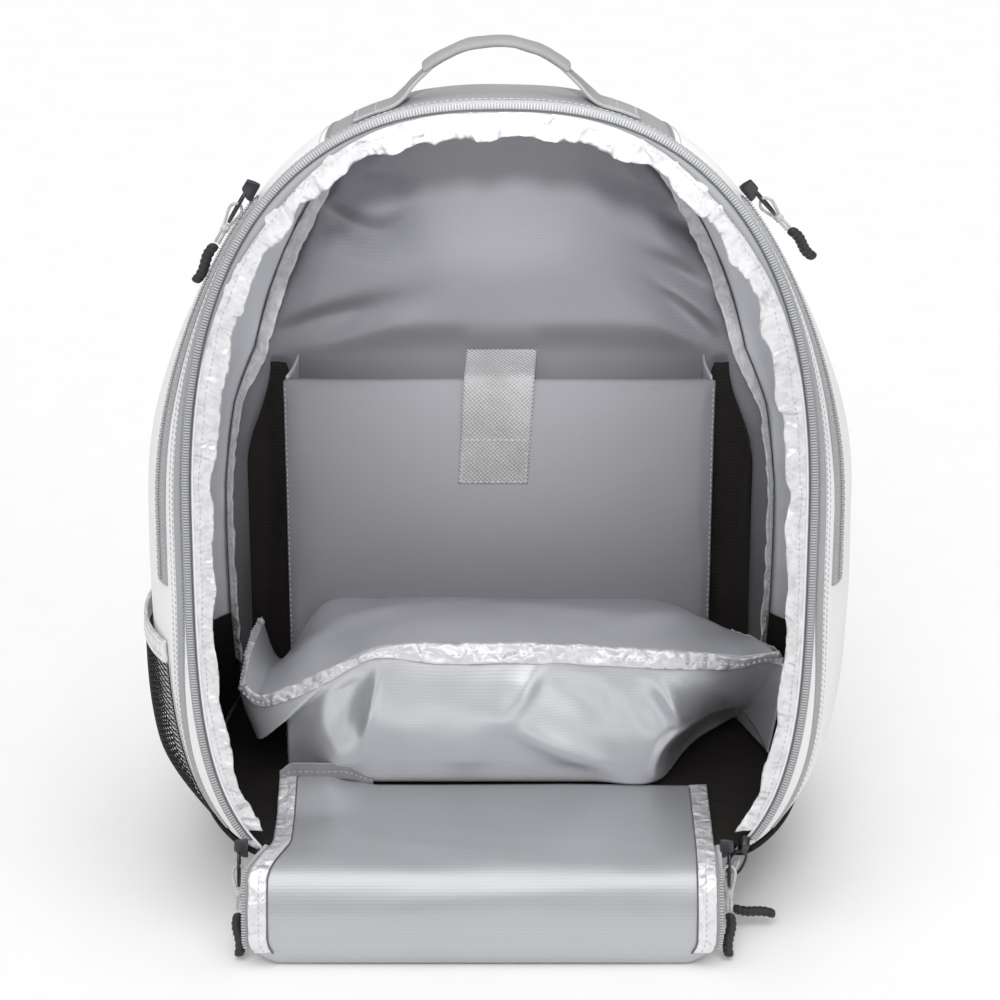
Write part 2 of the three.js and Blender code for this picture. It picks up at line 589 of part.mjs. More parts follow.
function handleEnd(side) {
  const { y, width, webbing: thickness, lift, gripZ, middle } = HANDLE;
  const seat = (x) => topZ(x, y) + thickness / 2 + lift;
  const foot = HANDLE_FOOT.map((out) => vector(middle + side * out, 0, seat(middle + side * out)));
  const rise = HANDLE_RISE.map(({ out, overTop, underGrip }) => {
    const x = middle + side * out;
    return vector(x, 0, overTop ? seat(x) + overTop : gripZ - underGrip);
  });
  const route = smoothCurve([...foot, ...rise]);
  const ribbon = (u, v) => {
    const spot = route.getPointAt(v).setY(y + (u - 0.5) * width);
    const slope = topZ(spot.x, spot.y) - topZ(spot.x, y);
    spot.z += slope * (1 - smoothstep(v, HANDLE_SLOPE.from, HANDLE_SLOPE.to));
    return spot;
  };
  return sheet(thick(ribbon), 2, 10, -thickness / 2, thickness / 2);
}

function handle() {
  add('handle_end_left', handleEnd(-1), webbing);
  add('handle_end_right', handleEnd(1), webbing);
  const { y, gripWidth, middle, gripHalf, gripZ, apexZ, thickness } = HANDLE;
  const rise = apexZ - thickness / 2 - gripZ;
  const bow = smoothCurve([-1, -0.62, -0.3, 0, 0.3, 0.62, 1].map((k) => (
    vector(middle + k * gripHalf, y, gripZ + rise * (1 - k * k)))));
  const section = new THREE.Shape().absellipse(0, 0, gripWidth / 2, thickness / 2, 0, Math.PI * 2);
  const grip = new THREE.ExtrudeGeometry(section, { extrudePath: bow, steps: 10, curveSegments: 5 });
  add('handle_grip', grip, polyester);
}

// Plain padded shoulder straps on the back, each ending in webbing sewn in at the base.
const SHOULDER_ROUTE = [
  { x: 44, y: 102.9, z: 338 }, { x: 48, y: 124, z: 318 }, { x: 54, y: 135, z: 270 },
  { x: 62, y: 137, z: 210 }, { x: 72, y: 133, z: 150 }, { x: 80, y: 126, z: 104 },
];
const WEBBING_ROUTE = [
  { x: 80.06, y: 125.9, z: 103.6 }, { x: 86, y: 121, z: 78 }, { x: 94, y: 113, z: 46 },
  { x: 100, y: 99.75, z: 20 },
];

function ribbons(name, rows, width, thickness, columns, steps, material) {
  for (const [label, side] of [['left', -1], ['right', 1]]) {
    const route = smoothCurve(rows.map(({ x, y, z }) => vector(side * x, y, z)));
    const ribbon = (u, v) => route.getPointAt(v).add(vector((u - 0.5) * width, 0, 0));
    add(`${name}_${label}`, sheet(thick(ribbon), columns, steps, -thickness / 2, thickness / 2), material);
  }
}

function shoulderStraps() {
  ribbons('shoulder_pad', SHOULDER_ROUTE, SHOULDER.width, SHOULDER.thickness, 3, 10, polyester);
  ribbons('strap_webbing', WEBBING_ROUTE, SHOULDER.webbing, HANDLE.webbing, 1, 8, webbing);
}

// Zip pulls: a slider, a wire loop, a doubled cord and a moulded grip. A pull hangs along its own -Z,
// its loop of wire lies across its X, and kick turns the cord and grip sideways from drop millimetres down.
const upperSeat = (x) => shell(archAt(x), SLIDER.seatT, SLIDER.seatDepth);
const PULLS = [
  {
    name: 'low_left', at: vector(-138, -106.4, 8), hang: vector(0, -0.45, -0.89),
    out: vector(-1, 0, 0), kick: 0, drop: 22,
  },
  {
    name: 'low_right', at: vector(121, -106.8, 8), hang: vector(0, -0.45, -0.89),
    out: vector(1, 0, 0), kick: 0, drop: 22,
  },
  {
    name: 'floor_right', at: vector(129.6, -105.2, 8), hang: vector(-0.3, 0.25, -0.92),
    out: vector(0, -1, 0), kick: 100, drop: 38,
  },
  {
    name: 'upper_left', at: upperSeat(-PULL_X), hang: vector(-0.5, 0, -0.87),
    out: outward(archAt(-PULL_X)), kick: 0, drop: 22,
  },
  {
    name: 'upper_right', at: upperSeat(PULL_X), hang: vector(0.6, 0.3, -0.74),
    out: outward(archAt(PULL_X)), kick: 0, drop: 22,
  },
];
const KICK = { bend: 10, mouth: 12 };

// A place on a pull's centre line, b millimetres below its slider.
function pullLine(b, kick, drop) {
  if (kick === 0) return vector(0, 0, -b);
  const turn = Math.min(1, Math.max(0, (b - drop) / KICK.bend)) * kick;
  const radius = KICK.bend / kick;
  const rest = Math.max(0, b - drop - KICK.bend);
  const y = radius * (1 - Math.cos(turn)) + rest * Math.sin(turn);
  return vector(0, y, -(Math.min(b, drop) + radius * Math.sin(turn) + rest * Math.cos(turn)));
}

// The slider in side view, its back to the zip.
const SLIDER_SIDE = [
  { x: -4, z: 5 }, { x: -1, z: 5 }, { x: 3.2, z: 4.2 },
  { x: 3.4, z: -1.2 }, { x: -1, z: -4.6 }, { x: -4, z: -5 },
];

function slider() {
  const side = new THREE.Shape(SLIDER_SIDE.map(({ x, z }) => new THREE.Vector2(x, -z)));
  side.holes.push(new THREE.Path().absarc(WIRE.x, -WIRE.top, SLIDER.hole, 0, Math.PI * 2));
  const solid = new THREE.ExtrudeGeometry(side, {
    depth: SLIDER.width, bevelEnabled: false, curveSegments: 5,
  });
  solid.applyMatrix4(new THREE.Matrix4().makeBasis(vector(1, 0, 0), vector(0, 0, 1), vector(0, -1, 0)));
  return solid.translate(0, SLIDER.width / 2, 0);
}

function wireLoop() {
  const { top, bottom, halfWidth, x, radius, shoulder } = WIRE;
  const side = (y) => [vector(x, y, -top - shoulder), vector(x, y, -bottom + shoulder)];
  const route = smoothCurve([
    vector(x, 0, -top), ...side(halfWidth), vector(x, 0, -bottom), ...side(-halfWidth).reverse(),
  ], true);
  return new THREE.TubeGeometry(route, 16, radius, 5, true);
}

// Both strands of the cord, from the grip up to the wire loop and back.
function cordLoop(kick, drop, mouth) {
  const { diameter, start, waist, knot, halfLoop, halfWaist, halfMouth, lean } = CORD;
  const stations = [
    { b: mouth, half: halfMouth }, { b: (knot + mouth) / 2, half: halfMouth }, { b: knot, half: halfMouth },
    { b: waist, half: halfWaist }, { b: start + halfLoop, half: halfLoop },
  ];
  const strand = (sign) => stations.map(({ b, half }) => (
    pullLine(b, kick, drop).add(vector(WIRE.x + sign * half, 0, 0))));
  const crown = pullLine(start, kick, drop).add(vector(WIRE.x, lean, 0));
  const route = smoothCurve([...strand(-1), crown, ...strand(1).reverse()]);
  const section = new THREE.Shape().absarc(0, 0, diameter / 2, 0, Math.PI * 2);
  return new THREE.ExtrudeGeometry(section, { extrudePath: route, steps: 17, curveSegments: 3 });
}

function pullGrip(kick, drop, mouth) {
  const { length, radius, wave, gap, swell, tipFrom, tip } = GRIP;
  const centre = smoothCurve([0, 0.25, 0.5, 0.75, 1].map((k) => {
    const sway = vector(WIRE.x + wave * Math.sin(2 * Math.PI * k), 0, 0);
    return pullLine(mouth + gap + k * length, kick, drop).add(sway);
  }));
  const radiusAt = (k) => radius * (1 + swell * Math.sin(Math.PI * k)) * (k > tipFrom ? tip : 1);
  return rod(centre, radiusAt, 7, 8);
}

function pulls() {
  for (const { name, at, hang, out, kick, drop } of PULLS) {
    const up = hang.clone().normalize().negate();
    const across = out.clone().addScaledVector(up, -out.dot(up)).normalize();
    const group = new THREE.Group();
    group.setRotationFromMatrix(new THREE.Matrix4().makeBasis(across, up.clone().cross(across), up));
    group.position.copy(at);
    bag.add(group);
    const turn = THREE.MathUtils.degToRad(kick);
    const mouth = kick === 0 ? CORD.mouth : drop + KICK.mouth;
    add(`slider_${name}`, slider(), gunmetal, group);
    add(`wire_loop_${name}`, wireLoop(), gunmetal, group);
    add(`cord_${name}`, cordLoop(turn, drop, mouth), cordYarn, group);
    add(`grip_${name}`, pullGrip(turn, drop, mouth), rubber, group);
  }
}

base();
walls();
backPad();
backLining();
mainZip();
rimBinding();
seamBindings();
sleeve();
sleeveStrap();
shoeCompartment();
frontPanel();
sidePockets();
handle();
shoulderStraps();
pulls();

export default bag;
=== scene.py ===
import math

import bmesh
import bpy
import numpy as np
from bpy.props import FloatProperty, FloatVectorProperty, PointerProperty
from mathutils import Matrix, Vector, noise


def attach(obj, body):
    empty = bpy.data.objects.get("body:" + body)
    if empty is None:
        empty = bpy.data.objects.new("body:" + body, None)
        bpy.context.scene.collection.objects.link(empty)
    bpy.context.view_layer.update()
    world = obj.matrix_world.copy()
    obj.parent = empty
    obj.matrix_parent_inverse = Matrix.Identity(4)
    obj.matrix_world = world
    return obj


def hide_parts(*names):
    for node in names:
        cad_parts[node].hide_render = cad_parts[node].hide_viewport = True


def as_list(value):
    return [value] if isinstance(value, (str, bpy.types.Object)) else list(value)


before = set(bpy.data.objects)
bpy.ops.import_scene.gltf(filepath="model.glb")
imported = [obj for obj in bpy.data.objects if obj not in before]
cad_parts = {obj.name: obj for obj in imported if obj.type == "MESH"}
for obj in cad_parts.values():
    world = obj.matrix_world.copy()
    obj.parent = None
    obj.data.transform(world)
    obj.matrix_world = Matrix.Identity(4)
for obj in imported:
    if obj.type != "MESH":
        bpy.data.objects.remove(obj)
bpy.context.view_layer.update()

bl_info = {
    "name": "Open sports backpack",
    "version": (1, 0, 0),
    "blender": (4, 5, 0),
    "location": "3D View > Sidebar > Backpack",
    "description": "Sews the cloth, zips, pads and pulls of an open backpack round its CAD frame",
    "category": "Add Mesh",
}

# The bag's own frame: millimetres, X to the right, Y to the back, Z up from the base's underside.
MM = 0.001
FOLD_HEIGHT = 45.0
FRONT_Y, BACK_Y, LEAN = -100.0, 99.0, 0.075
# About how long the arch and how deep the wall is, for folds of an even size on both.
ARCH_LENGTH, WALL_DEPTH = 1060, 200


def metres(points):
    """Bag millimetres to the frame's metres."""
    return (np.asarray(points, float) + (0, 0, FOLD_HEIGHT)) * MM


def unit(rows):
    return rows / np.maximum(np.linalg.norm(rows, axis=-1, keepdims=True), 1e-12)


def lerp(a, b, k):
    return a + (b - a) * k


def smoothstep(x, low, high):
    k = np.clip((np.asarray(x, float) - low) / (high - low), 0, 1)
    return k * k * (3 - 2 * k)


def rows(*columns):
    return np.stack(np.broadcast_arrays(*[np.asarray(c, float) for c in columns]), -1)


def catmull(knots, t, clamped=False):
    """Places on a smooth line through the knots, t counted in knots."""
    knots = np.asarray(knots, float)
    first = knots[0] if clamped else 2 * knots[0] - knots[1]
    last = knots[-1] if clamped else 2 * knots[-1] - knots[-2]
    p = np.vstack([first, knots, last])
    i = np.clip(np.floor(t).astype(int), 0, len(knots) - 2)
    f = (t - i)[:, None]
    p0, p1, p2, p3 = p[i], p[i + 1], p[i + 2], p[i + 3]
    return 0.5 * (2 * p1 + (p2 - p0) * f + (2 * p0 - 5 * p1 + 4 * p2 - p3) * f ** 2
                  + (3 * p1 - p0 - 3 * p2 + p3) * f ** 3)


class Line:
    """A smooth line through points, read by its share of length."""

    def __init__(self, points, smooth=True):
        points = np.asarray(points, float)
        count = len(points) - 1
        self.points = catmull(points, np.linspace(0, count, 60 * count + 1)) if smooth else points
        run = np.linalg.norm(np.diff(self.points, axis=0), axis=1)
        self.run = np.concatenate([[0], np.cumsum(run)])
        self.length = self.run[-1]

    def at(self, w):
        w = np.asarray(w, float) * self.length
        return np.stack([np.interp(w, self.run, c) for c in self.points.T], -1)


class Arch:
    """The arched outline of the opening or of the back, from lower left to lower right."""

    def __init__(self, half, mid, rise, drop, top_round, low_round, end):
        low = -math.asin(((mid - end) / drop) ** (low_round / 2))
        angle = np.linspace(low, math.pi - low, 1201)
        across, up = np.cos(angle), np.sin(angle)
        power = np.where(up > 0, 2 / top_round, 2 / low_round)
        reach = np.where(up > 0, rise, drop)
        x = -np.sign(across) * half * np.abs(across) ** power
        z = mid + np.sign(up) * reach * np.abs(up) ** power
        self.line = Line(np.stack([x, z], -1), smooth=False)

    def at(self, s):
        return np.moveaxis(self.line.at(np.clip(s, 0, 1)), -1, 0)


RIM_HALF, RIM_MIDDLE, RIM_RISE = 162, 185, 221
RIM = Arch(RIM_HALF, RIM_MIDDLE, RIM_RISE, 210, 2.45, 3.8, 3.6)
REAR = Arch(155, 90, 270, 200, 2.6, 3.8, 3.6)


def outward(s):
    """The way out of the bag at a place along the arch."""
    x, z = RIM.at(s)
    return unit(rows(x / RIM_HALF, 0, np.maximum(0, (z - RIM_MIDDLE) / RIM_RISE)))


# How far the wall bulges at the top and at the sides, and how fast that falls off between them.
TOP_BULGE, SIDE_BULGE, BULGE_FALLOFF = 3, 28, 9


def shell(s, t, depth):
    """The bag's wall: s along the arch, t from the opening to the back, depth inwards."""
    s, t, depth = np.broadcast_arrays(np.asarray(s, float), np.asarray(t, float), np.asarray(depth, float))
    edge_x, edge_z = RIM.at(s)
    rear_x, rear_z = REAR.at(s)
    out = outward(s)
    k = np.clip(t, 0, 1)
    bulge = lerp(TOP_BULGE, SIDE_BULGE, np.abs(out[..., 0]) ** BULGE_FALLOFF)
    swell = bulge * np.sin(np.pi * k ** 0.75) - depth
    taper = k ** 1.5
    return rows(lerp(edge_x, rear_x, taper) + out[..., 0] * swell,
                lerp(FRONT_Y + LEAN * edge_z, BACK_Y, t),
                lerp(edge_z, rear_z, taper) + out[..., 2] * swell)


def shell_share(y):
    """The share of the way from the opening to the back at y."""
    return (y - FRONT_Y) / (BACK_Y - FRONT_Y)


def arch_at(x):
    """The place along the arch whose edge lies at x, near the top."""
    s = np.linspace(0.3, 0.7, 801)
    return np.interp(x, RIM.at(s)[0], s)


def crumple(a, b, size, seed, octaves=2):
    """Soft uneven waves about size millimetres across, from about -1 to 1."""
    a, b = np.broadcast_arrays(np.asarray(a, float) / size, np.asarray(b, float) / size)
    flat = [noise.fractal((p, q, seed * 7.31), 1.0, 2.0, octaves) for p, q in zip(a.ravel(), b.ravel())]
    return np.array(flat).reshape(a.shape)


def pinched(a, b, size, seed):
    """Sharp pinched folds about size millimetres apart, from 0 to 1."""
    return 1 - np.minimum(1, 2.2 * np.abs(crumple(a, b, size, seed, 1)))


def ridge(x, z, table):
    """The sum of soft folds: place x, z, turn in degrees, half length, half width, height."""
    total = np.zeros(np.shape(x))
    for at_x, at_z, turn, length, width, height in table:
        c, s = math.cos(math.radians(turn)), math.sin(math.radians(turn))
        along = (x - at_x) * c + (z - at_z) * s
        across = (z - at_z) * c - (x - at_x) * s
        total += height * np.exp(-2 * (along / length) ** 2 - (across / width) ** 2)
    return total


# Finishes
def linear(code):
    """An sRGB hex colour as linear red, green and blue."""
    parts = [int(code[i:i + 2], 16) / 255 for i in (1, 3, 5)]
    return [p / 12.92 if p <= 0.04045 else ((p + 0.055) / 1.055) ** 2.4 for p in parts]


def shade(colour, share):
    return [min(1.0, c * share) for c in colour[:3]] + [1.0]


def node(tree, kind, inputs=None, **settings):
    """Adds one shader node with its settings, and fills or links its inputs."""
    made = tree.nodes.new("ShaderNode" + kind)
    for key, value in settings.items():
        setattr(made, key, value)
    for key, value in (inputs or {}).items():
        if isinstance(value, bpy.types.NodeSocket):
            tree.links.new(value, made.inputs[key])
        else:
            made.inputs[key].default_value = value
    return made


# Thread directions of each weave, on the cloth's own map and on a pad, which has none.
WEAVES = {
    "plain": ((1, 0, 0), (0, 1, 0)),
    "rib": ((0, 1, 0), None),
    "twill": ((0.7, 0.7, 0), None),
    "plain_pad": ((1, 0, 0), (0, 0.6, 0.8)),
    "braid": ((0.6, 0.6, 0.5), (0.6, -0.6, 0.5)),
}


def cloth_finish(name, colour, weave, pitch, relief, roughness, sheen=0.1, contrast=0.12, mottle=45.0,
                 crease=0.0, crease_size=14.0, specular=0.35, metallic=0.0, on_map=True):
    """A fabric: threads pitch mm apart and relief mm proud, clouded over mottle mm, creased by crease mm."""
    made = bpy.data.materials.get(name)
    if made:
        return made
    made = bpy.data.materials.new(name)
    made.use_nodes = True
    tree = made.node_tree
    tree.nodes.clear()
    body = node(tree, "TexCoord").outputs["Object"]
    if on_map:
        place, per_unit = node(tree, "UVMap", uv_map="cloth").outputs["UV"], 1.0
    else:
        place, per_unit = body, 1000.0
    turn = 2 * math.pi / pitch * per_unit

    def wave(way):
        angle = node(tree, "VectorMath", {0: place, 1: [turn * d for d in way]}, operation="DOT_PRODUCT")
        return node(tree, "Math", {0: angle.outputs["Value"]}, operation="SINE").outputs[0]

    first, second = WEAVES[weave]
    threads = wave(first)
    if second:
        threads = node(tree, "Math", {0: threads, 1: wave(second)}, operation="MULTIPLY").outputs[0]
    cloud = node(tree, "TexNoise", {"Vector": body, "Scale": 1000 / mottle, "Detail": 3.0,
                 "Roughness": 0.6})
    mixed = node(tree, "Math", {0: threads, 1: 0.28, 2: cloud.outputs["Fac"]}, operation="MULTIPLY_ADD")
    share = node(tree, "MapRange", {0: mixed.outputs[0], 1: 0.1, 2: 0.9})
    tone = node(tree, "Mix", {0: share.outputs[0], 6: shade(colour, 1 - contrast),
                              7: shade(colour, 1 + contrast * 0.6)}, data_type="RGBA")
    rough = node(tree, "MapRange", {0: cloud.outputs["Fac"], 1: 0.2, 2: 0.8,
                                    3: roughness - 0.05, 4: roughness + 0.08})
    bump = node(tree, "Bump", {"Strength": 0.8, "Distance": relief * MM, "Height": threads})
    if crease:
        folds = node(tree, "TexNoise", {"Vector": body, "Scale": 1000 / crease_size, "Detail": 1.2,
                                        "Roughness": 0.5, "Distortion": 0.6})
        bump = node(tree, "Bump", {"Strength": 0.9, "Distance": crease * MM, "Height": folds.outputs["Fac"],
                                   "Normal": bump.outputs[0]})
    surface = node(tree, "BsdfPrincipled", {
        "Base Color": tone.outputs[2], "Roughness": rough.outputs[0], "Normal": bump.outputs[0],
        "Sheen Weight": sheen, "Sheen Roughness": 0.4, "Specular IOR Level": specular, "Metallic": metallic})
    node(tree, "OutputMaterial", {"Surface": surface.outputs[0]})
    return made


# What the finishes of one kind have in common.
KINDS = {
    "polyester": dict(weave="plain", pitch=1.6, relief=0.12, sheen=0.15),
    "satin": dict(weave="rib", pitch=2.0, relief=0.012, sheen=0.0, contrast=0.05, mottle=60, crease=0.25,
                  crease_size=36, specular=0.5),
    "binding": dict(weave="plain_pad", pitch=0.4, relief=0.004, sheen=0.0, specular=0.5, on_map=False),
    "tape": dict(weave="twill", pitch=1.6, mottle=30),
    "smooth": dict(weave="plain_pad", relief=0.02, sheen=0.0, specular=0.5, on_map=False),
    "yarn": dict(weave="braid", pitch=0.7, relief=0.08, mottle=10, on_map=False),
}


def finish_of(kind, name, colour, roughness, **own):
    """A finish of one kind, with the values in which it differs from the others."""
    return cloth_finish(name, colour, roughness=roughness, **{**KINDS[kind], **own})


def finishes(looks):
    """Each finish of the bag by its plain name. A thread too fine to show is drawn coarser, as noted."""
    on_pad = dict(weave="plain_pad", on_map=False)
    outer, top, bright = looks.outer_cloth, looks.top_cloth, looks.bright_lining
    return {
        # Plain-woven polyester, dry and close: an even pale cloth with hardly any shine.
        # Real threads are 0.4 mm apart, drawn at 1.6 mm or more so that they show.
        "outer": finish_of("polyester", "plain_woven_polyester", outer, 0.78, relief=0.1, contrast=0.05),
        "outer_pad": finish_of("polyester", "plain_woven_polyester_on_pads", outer, 0.78, pitch=1.8,
                               contrast=0.06, **on_pad),
        # The same cloth dyed grey, a little smoother.
        "top_pad": finish_of("polyester", "grey_woven_polyester_on_grip", top, 0.75, contrast=0.07,
                             **on_pad),
        "top": finish_of("polyester", "grey_woven_polyester", top, 0.75, contrast=0.07),
        # Polyester satin lining: its floats lie flat and mirror softly, so it is shaded as partly metallic,
        # with faint cross ribs drawn at 2.2 mm.
        "lining": finish_of("satin", "grey_satin_lining", looks.lining, 0.33, pitch=2.2, crease_size=34,
                            metallic=0.32),
        # The same satin over foam, which stretches it smooth.
        "sleeve": finish_of("satin", "grey_satin_on_foam", looks.sleeve, 0.42, crease_size=40, metallic=0.3,
                            **on_pad),
        # A paler satin with more shine: bright where it bends.
        "bright": finish_of("satin", "bright_satin_lining", bright, 0.34, metallic=0.5),
        # The same bright satin on the front panel, its colour darkened to 0.78 as painted shade.
        "flap": finish_of("satin", "bright_satin_front_lining_painted_shade", shade(bright, 0.78), 0.38, metallic=0.5),
        # The same bright satin on the side walls, its colour raised 1.4 times as painted light where they
        # turn to the light.
        "side": finish_of("satin", "side_satin_lining_painted_light", shade(bright, 1.4), 0.4, metallic=0.3),
        # The same satin, charcoal and matt, behind the sleeve and on the base; low on the side walls the same
        # dark cloth is painted shade of the deep bottom of the bag.
        "charcoal": finish_of("satin", "matt_charcoal_cloth", looks.charcoal, 0.9, pitch=2.2, relief=0.05,
                              contrast=0.2, mottle=40, crease=0.6, crease_size=18, specular=0.04),
        # Satin binding, gathered as it is sewn on: crisp small creases that catch the light, with a blotchy
        # tone over 7.5 mm that is painted highlight and shade of the crinkles.
        "binding": finish_of("binding", "gathered_satin_tape", looks.binding, 0.34, contrast=0.26,
                             mottle=7.5, crease=3.4, crease_size=8.0, metallic=0.45),
        # The same tape where it lies deep inside, its colour raised to nearly white as painted light; its
        # strong blotchy tone is painted highlight and shade of the crinkles.
        "inner_binding": finish_of("binding", "gathered_satin_tape_inside_painted_light", linear("#f6f6f8"), 0.5,
                                   contrast=0.42, mottle=6.5, crease=2.8, crease_size=7.0),
        # Polyester webbing: a coarse basket of thick yarns about 2.4 mm apart.
        "webbing": finish_of("polyester", "polyester_webbing", looks.webbing, 0.7, pitch=2.4, relief=0.5,
                             sheen=0.1, contrast=0.3, mottle=30),
        # Twill zip tape: fine slanting ribs, really 0.8 mm apart, drawn at 1.6 mm.
        "tape": finish_of("tape", "zip_twill_tape", looks.zip_tape, 0.62, relief=0.1, contrast=0.1),
        # The inner edge of the tape and the bed under the coil: plain and dull, coloured a little darker than
        # the tape as painted shade where it turns in beside the coil.
        "tape_edge": finish_of("tape", "plain_zip_tape_edge_painted_shade", linear("#a2a3a6"), 0.7, relief=0.03,
                               sheen=0.0, contrast=0.05),
        # Spun nylon of the coil: hard, smooth and a little glossy.
        "coil": finish_of("smooth", "nylon_zip_coil", looks.zip_coil, 0.34, pitch=0.9, contrast=0.08,
                          mottle=12),
        # Knitted polyester net: matt black yarn.
        "net": finish_of("yarn", "knitted_black_net", looks.net, 0.7, weave="plain_pad", pitch=0.8,
                         relief=0.05, contrast=0.2),
        # Braided polyester cord: pale yarns crossing each other.
        "cord": finish_of("yarn", "braided_cord", looks.cord, 0.7, pitch=1.0, relief=0.2, contrast=0.25),
        # Moulded black rubber: smooth and dull, with a faint grain.
        "rubber": finish_of("smooth", "moulded_rubber", looks.rubber, 0.46, pitch=1.2, contrast=0.15,
                            mottle=8),
        # Gunmetal-plated zinc: dark, hard reflections and a cast surface.
        "metal": finish_of("smooth", "gunmetal_plate", looks.metal, 0.3, pitch=1.5, relief=0.01,
                           contrast=0.2, mottle=6, metallic=1.0),
        # Painted shadow lines: thin dark tubes in the turns beside bindings and coil, standing in for the
        # shade there.
        "seam": finish_of("yarn", "painted_shadow_line_thread", looks.seam, 0.8, sheen=0.0, contrast=0.15),
        # Bright filament thread of the bindings.
        "bright_thread": finish_of("yarn", "bright_sewing_thread", linear("#f4f4f6"), 0.5, contrast=0.1),
        # Spun polyester thread of the seams: pale and dull, coloured darker than the cloth it sews, partly as
        # painted shade of the stitch holes.
        "thread": finish_of("yarn", "sewing_thread", looks.thread, 0.6, contrast=0.15),
    }


def colour_choice(name, description, code):
    return FloatVectorProperty(name=name, description=description, subtype="COLOR", min=0, max=1,
                               default=linear(code))


def length_choice(name, description, default, least, most):
    return FloatProperty(name=name, description=description, unit="LENGTH", default=default, min=least,
                         max=most)


class BackpackLooks(bpy.types.PropertyGroup):
    """The colours and sizes of the bag that a user would change."""

    outer_cloth: colour_choice("Outer cloth", "Side panels and pads", "#f2f2f3")
    top_cloth: colour_choice("Top cloth", "Panel under the handle", "#949496")
    lining: colour_choice("Lining", "Satin lining of the main compartment", "#8f8f94")
    sleeve: colour_choice("Sleeve", "Satin of the laptop sleeve", "#97969b")
    bright_lining: colour_choice("Bright lining", "Satin of the divider, front panel and sides", "#d4d5d9")
    # Also the colour of the painted-shade sheets low on the side walls.
    charcoal: colour_choice("Charcoal lining", "Cloth behind the sleeve and on the base", "#2f2c2b")
    binding: colour_choice("Binding", "Satin tape on the edges", "#ebebed")
    webbing: colour_choice("Webbing", "Handle ends and straps", "#a8a8a9")
    zip_tape: colour_choice("Zip tape", "Twill tape beside the zips", "#a7a8ab")
    zip_coil: colour_choice("Zip coil", "Teeth of the zips", "#bebfc1")
    net: colour_choice("Net", "Side pocket net", "#1d1d1f")
    cord: colour_choice("Pull cord", "Cords of the zip pulls", "#d2d2d2")
    rubber: colour_choice("Pull grip", "Moulded grips of the pulls", "#2b2b2c")
    metal: colour_choice("Sliders", "Sliders and wire loops", "#55565a")
    thread: colour_choice("Thread", "Stitches", "#c8c8ca")
    # The colour of the painted shadow lines in the turns beside bindings and coil.
    seam: colour_choice("Dark seam", "Turned edges beside bindings and coil", "#6a6a6d")
    stitch: length_choice("Stitch spacing", "From one stitch to the next", 0.0032, 0.001, 0.01)
    tooth: length_choice("Tooth spacing", "From one turn of the zip coil to the next", 0.0015, 0.0008,
                         0.004)
    net_cell: length_choice("Net cell", "Side of one cell of the pocket's net", 0.0023, 0.001, 0.01)


def supplies(context):
    """The user's choices and the finishes made from them."""
    looks = context.scene.backpack
    return looks, finishes(looks)


# Sewing: how a piece is made and joined to the frame
def add_piece(name, data, finish, stands_for=()):
    """Puts a mesh or curve in the scene as a piece that rides on the bag."""
    data.materials.append(finish)
    made = bpy.data.objects.new(name, data)
    bpy.context.scene.collection.objects.link(made)
    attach(made, "root")
    if stands_for:
        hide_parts(*stands_for)
    return made


def from_build(name, build, finish, stands_for=()):
    data = bpy.data.meshes.new(name)
    build.to_mesh(data)
    build.free()
    data.shade_smooth()
    return add_piece(name, data, finish, stands_for)


def lay(build, surface, wide, high):
    """Moves a flat grid onto surface(u, v) and gives it a map in millimetres."""
    flat = np.array([v.co[:2] for v in build.verts]) + 0.5
    for vert, place in zip(build.verts, metres(surface(flat[:, 0], flat[:, 1]))):
        vert.co = place
    layer = build.loops.layers.uv.get("cloth") or build.loops.layers.uv.new("cloth")
    build.verts.index_update()
    for face in build.faces:
        for loop in face.loops:
            u, v = flat[loop.vert.index]
            loop[layer].uv = (u * wide, v * high)


def cut_size(surface):
    """The widest and longest measure of a cloth in millimetres."""
    line = np.linspace(0, 1, 50)
    across, along = np.meshgrid(line, np.linspace(0, 1, 7))

    def longest(grid):
        return np.linalg.norm(np.diff(grid, axis=1), axis=2).sum(1).max()

    def read(u, v):
        return surface(u.ravel(), v.ravel()).reshape(*u.shape, 3)

    return longest(read(across, along)), longest(read(along, across))


def face_to(build, facing):
    """Turns an open cloth so that its faces look along a direction, or "out" of the bag or "in" to it."""
    total = 0.0
    for face in build.faces:
        if isinstance(facing, str):
            c = face.calc_center_median()
            way = (c.x, 0, c.z - 0.2) if facing == "out" else (-c.x, 0, 0.2 - c.z)
        else:
            way = facing
        total += face.calc_area() * sum(a * b for a, b in zip(face.normal, way))
    if total < 0:
        bmesh.ops.reverse_faces(build, faces=build.faces)


def cloth(name, surface, columns, ranks, wall, finish, facing, stands_for=(), cut_out=None):
    """A wall of cloth: a flat cut laid on a surface, facing the side that shows, its wall behind."""
    build = bmesh.new()
    build.loops.layers.uv.new("cloth")
    bmesh.ops.create_grid(build, x_segments=columns, y_segments=ranks, size=0.5, calc_uvs=True)
    if cut_out:
        middles = np.array([face.calc_center_median()[:2] for face in build.faces]) + 0.5
        gone = [face for face, out in zip(build.faces, cut_out(*middles.T)) if out]
        bmesh.ops.delete(build, geom=gone, context="FACES")
    wide, high = cut_size(surface)
    lay(build, surface, wide, high)
    build.normal_update()
    face_to(build, facing)
    made = from_build(name, build, finish, stands_for)
    area = sum(p.area for p in made.data.polygons)
    made["cut"] = (wide * MM, high * MM, area)
    wall_of = made.modifiers.new("Wall", "SOLIDIFY")
    wall_of.thickness = wall * MM
    wall_of.offset = -1
    return made


# Under this width in metres a tape is trim; LEAST_CUT, a share of a cut's oblong, is not used. No cut
# is given as less than this share of its oblong.
TRIM_WIDTH, LEAST_CUT = 0.01, 0.31


def declare(piece):
    """Drops the size a cloth was cut to and returns the piece, trim or not."""
    wide, high, area = piece["cut"]
    del piece["cut"]
    if min(wide, high) < TRIM_WIDTH:
        return piece
    return piece


